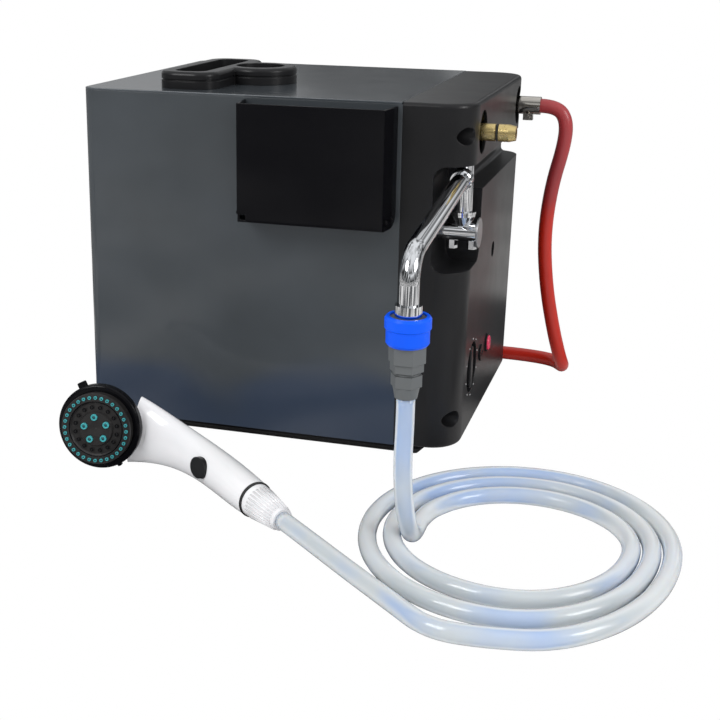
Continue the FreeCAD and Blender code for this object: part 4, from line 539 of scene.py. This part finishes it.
nozzle = {"body": "heater", "slot": "nozzle_teal", "place": onFace(18.95)}
jets = {"count": 32, "circle": 29.2}
pulses = {"count": 5, "circle": 11}
lip = {"kind": "hoop", "material": "teal"}
# the holes are dark pegs: painted shade in the nozzles' openings
hole = {"kind": "peg", "material": "holeShade"}
details = {
    "nutRibs": {
        "kind": "peg", "count": 26, "circle": 11.9, "thick": 0.9, "long": 31, "tilt": 7.3,
        "material": "whiteGloss", "body": "heater", "slot": "white_plastic",
        "place": handFrame @ Matrix.Translation((19, 0, 0)) @ toX,
    },
    "jetLips": {**nozzle, **jets, **lip, "thick": 0.32, "long": 1.25},
    "jetHoles": {**nozzle, **jets, **hole, "thick": 0.75, "long": 0.3},
    "pulseLips": {**nozzle, **pulses, **lip, "thick": 0.5, "long": 2.5},
    "pulseHoles": {**nozzle, **pulses, **hole, "thick": 1.4, "long": 0.4},
    "mistLips": {
        "kind": "hoop", "count": 16, "circle": 20, "thick": 0.35, "long": 1.5,
        "material": "glossBlack", "body": "heater", "slot": "black_moulding", "place": onFace(16.9),
    },
    "faceBeads": {  # rings almost on one another make one bead
        "kind": "hoop", "count": 3, "circle": 0.05, "thick": 0.35, "long": 25.4,
        "material": "glossBlack", "body": "heater", "slot": "face_plate", "place": onFace(17.4),
    },
    "dialDots": {
        "kind": "peg", "count": 10, "circle": 28.5, "thick": 0.7, "long": 0.3,
        "material": "whiteMark", "body": "heater", "slot": "white_plastic",
        "place": Matrix.Translation((skin + dial["proud"], dial["y"], dial["z"])) @ lean @ toX,
    },
    "nutThread": {
        "kind": "hoop", "count": 3, "circle": 0.2, "thick": 0.5, "long": 10.7,
        "material": "couplerGrey", "body": "spout", "slot": "coupler_grey",
        "place": Matrix.Translation((175, -340, 149.2)),
    },
    "nippleThread": {
        "kind": "hoop", "count": 3, "circle": 0.3, "thick": 0.3, "long": 7.7,
        "material": "brass", "body": "heater", "slot": "brass_metal",
        "place": Matrix.Translation((207, -102, 305)) @ toX,
    },
}
for name, detail in details.items():
    circleOf(name, detail)
print("details made", len(details))

# Floor: white to the camera and pale to the object's light; polished parts see dark patches in it
floorLook = {
    "reach": 4, "plain": (0.8, 0.8, 0.8), "rough": 0.9,
    "patchScale": 4.5, "patches": ((0.44, (0.05, 0.052, 0.055)), (0.58, (0.62, 0.61, 0.6))),
}
reach = floorLook["reach"]
floorMesh = bpy.data.meshes.new("floor")
corners = [(-reach, -reach, 0), (reach, -reach, 0), (reach, reach, 0), (-reach, reach, 0)]
floorMesh.from_pydata(corners, [], [(0, 1, 2, 3)])
floor = bpy.data.objects.new("floor", floorMesh)
scene.collection.objects.link(floor)
paper, tree, shader, place = newMaterial("paper")
shader.inputs["Roughness"].default_value = floorLook["rough"]
rays = tree.nodes.new("ShaderNodeLightPath")
patches = colourRamp(tree, noise(tree, place, floorLook["patchScale"], 1), floorLook["patches"])
shade = mixColour(tree, rays.outputs["Is Glossy Ray"], floorLook["plain"], patches)
tree.links.new(shade, shader.inputs["Base Color"])
glow = tree.nodes.new("ShaderNodeEmission")
blend = tree.nodes.new("ShaderNodeMixShader")
tree.links.new(rays.outputs["Is Camera Ray"], blend.inputs["Fac"])
tree.links.new(shader.outputs["BSDF"], blend.inputs[1])
tree.links.new(glow.outputs["Emission"], blend.inputs[2])
tree.links.new(blend.outputs["Shader"], tree.nodes["Material Output"].inputs["Surface"])
floorMesh.materials.append(paper)

# Surroundings: white, except that polished parts see bands of grey by height, broken by upright streaks
skyLook = {
    "strength": 1.0, "tint": (0.97, 0.985, 1.0),
    "bands": (
        (0.0, 0.3), (0.05, 0.03), (0.2, 0.05), (0.33, 0.35), (0.45, 0.85), (0.6, 0.1), (0.8, 0.6), (1.0, 0.9),
    ),
    "streakScale": 3.2, "streakStretch": (1, 1, 0.25), "streakEnds": (0.46, 0.56), "streakLift": (-0.1, 0.22),
}
world = bpy.data.worlds.new("surroundings")
scene.world = world
world.use_nodes = True
tree = world.node_tree
sky = tree.nodes["Background"]
sky.inputs["Strength"].default_value = skyLook["strength"]
place = tree.nodes.new("ShaderNodeTexCoord").outputs["Generated"]
height = tree.nodes.new("ShaderNodeSeparateXYZ")
tree.links.new(place, height.inputs["Vector"])
streaks = noise(tree, place, skyLook["streakScale"], 1, skyLook["streakStretch"])
lifted = tree.nodes.new("ShaderNodeMath")
lifted.operation = "ADD"
tree.links.new(height.outputs["Z"], lifted.inputs[0])
tree.links.new(rescale(tree, streaks, skyLook["streakEnds"], skyLook["streakLift"]), lifted.inputs[1])
greys = [(at, tuple(level * part for part in skyLook["tint"])) for at, level in skyLook["bands"]]
bands = colourRamp(tree, lifted.outputs["Value"], greys)
rays = tree.nodes.new("ShaderNodeLightPath")
tree.links.new(mixColour(tree, rays.outputs["Is Glossy Ray"], (1, 1, 1), bands), sky.inputs["Color"])

lamps = [
    {"name": "keyLamp", "at": (-0.9, -1.6, 1.5), "size": 0.9, "power": 16},
    {"name": "sideLamp", "at": (1.7, -0.6, 1.0), "size": 0.7, "power": 10},
]
lampAim = Vector((0, -0.1, 0.15))
for lamp in lamps:
    data = bpy.data.lights.new(lamp["name"], "AREA")
    data.size = lamp["size"]
    data.energy = lamp["power"]
    light = bpy.data.objects.new(lamp["name"], data)
    aim = (Vector(lamp["at"]) - lampAim).to_track_quat("Z", "Y").to_matrix().to_4x4()
    light.matrix_world = Matrix.Translation(lamp["at"]) @ aim
    scene.collection.objects.link(light)

view = {
    "lens": 65.375, "shiftX": 0.05, "shiftY": -0.075,
    "at": (0.38315, -1.2842, 0.47218), "yaw": 0.2841, "pitch": 0.2735, "roll": 0.0127,
}
camera = bpy.data.objects.new("camera", bpy.data.cameras.new("camera"))
scene.collection.objects.link(camera)
camera.data.lens = view["lens"]
camera.data.shift_x = view["shiftX"]
camera.data.shift_y = view["shiftY"]
camera.matrix_world = (
    Matrix.Translation(view["at"]) @ Matrix.Rotation(view["yaw"], 4, "Z")
    @ Matrix.Rotation(math.pi / 2 - view["pitch"], 4, "X") @ Matrix.Rotation(view["roll"], 4, "Z")
)
scene.camera = camera
scene.view_settings.view_transform = "Standard"
print("stage set")
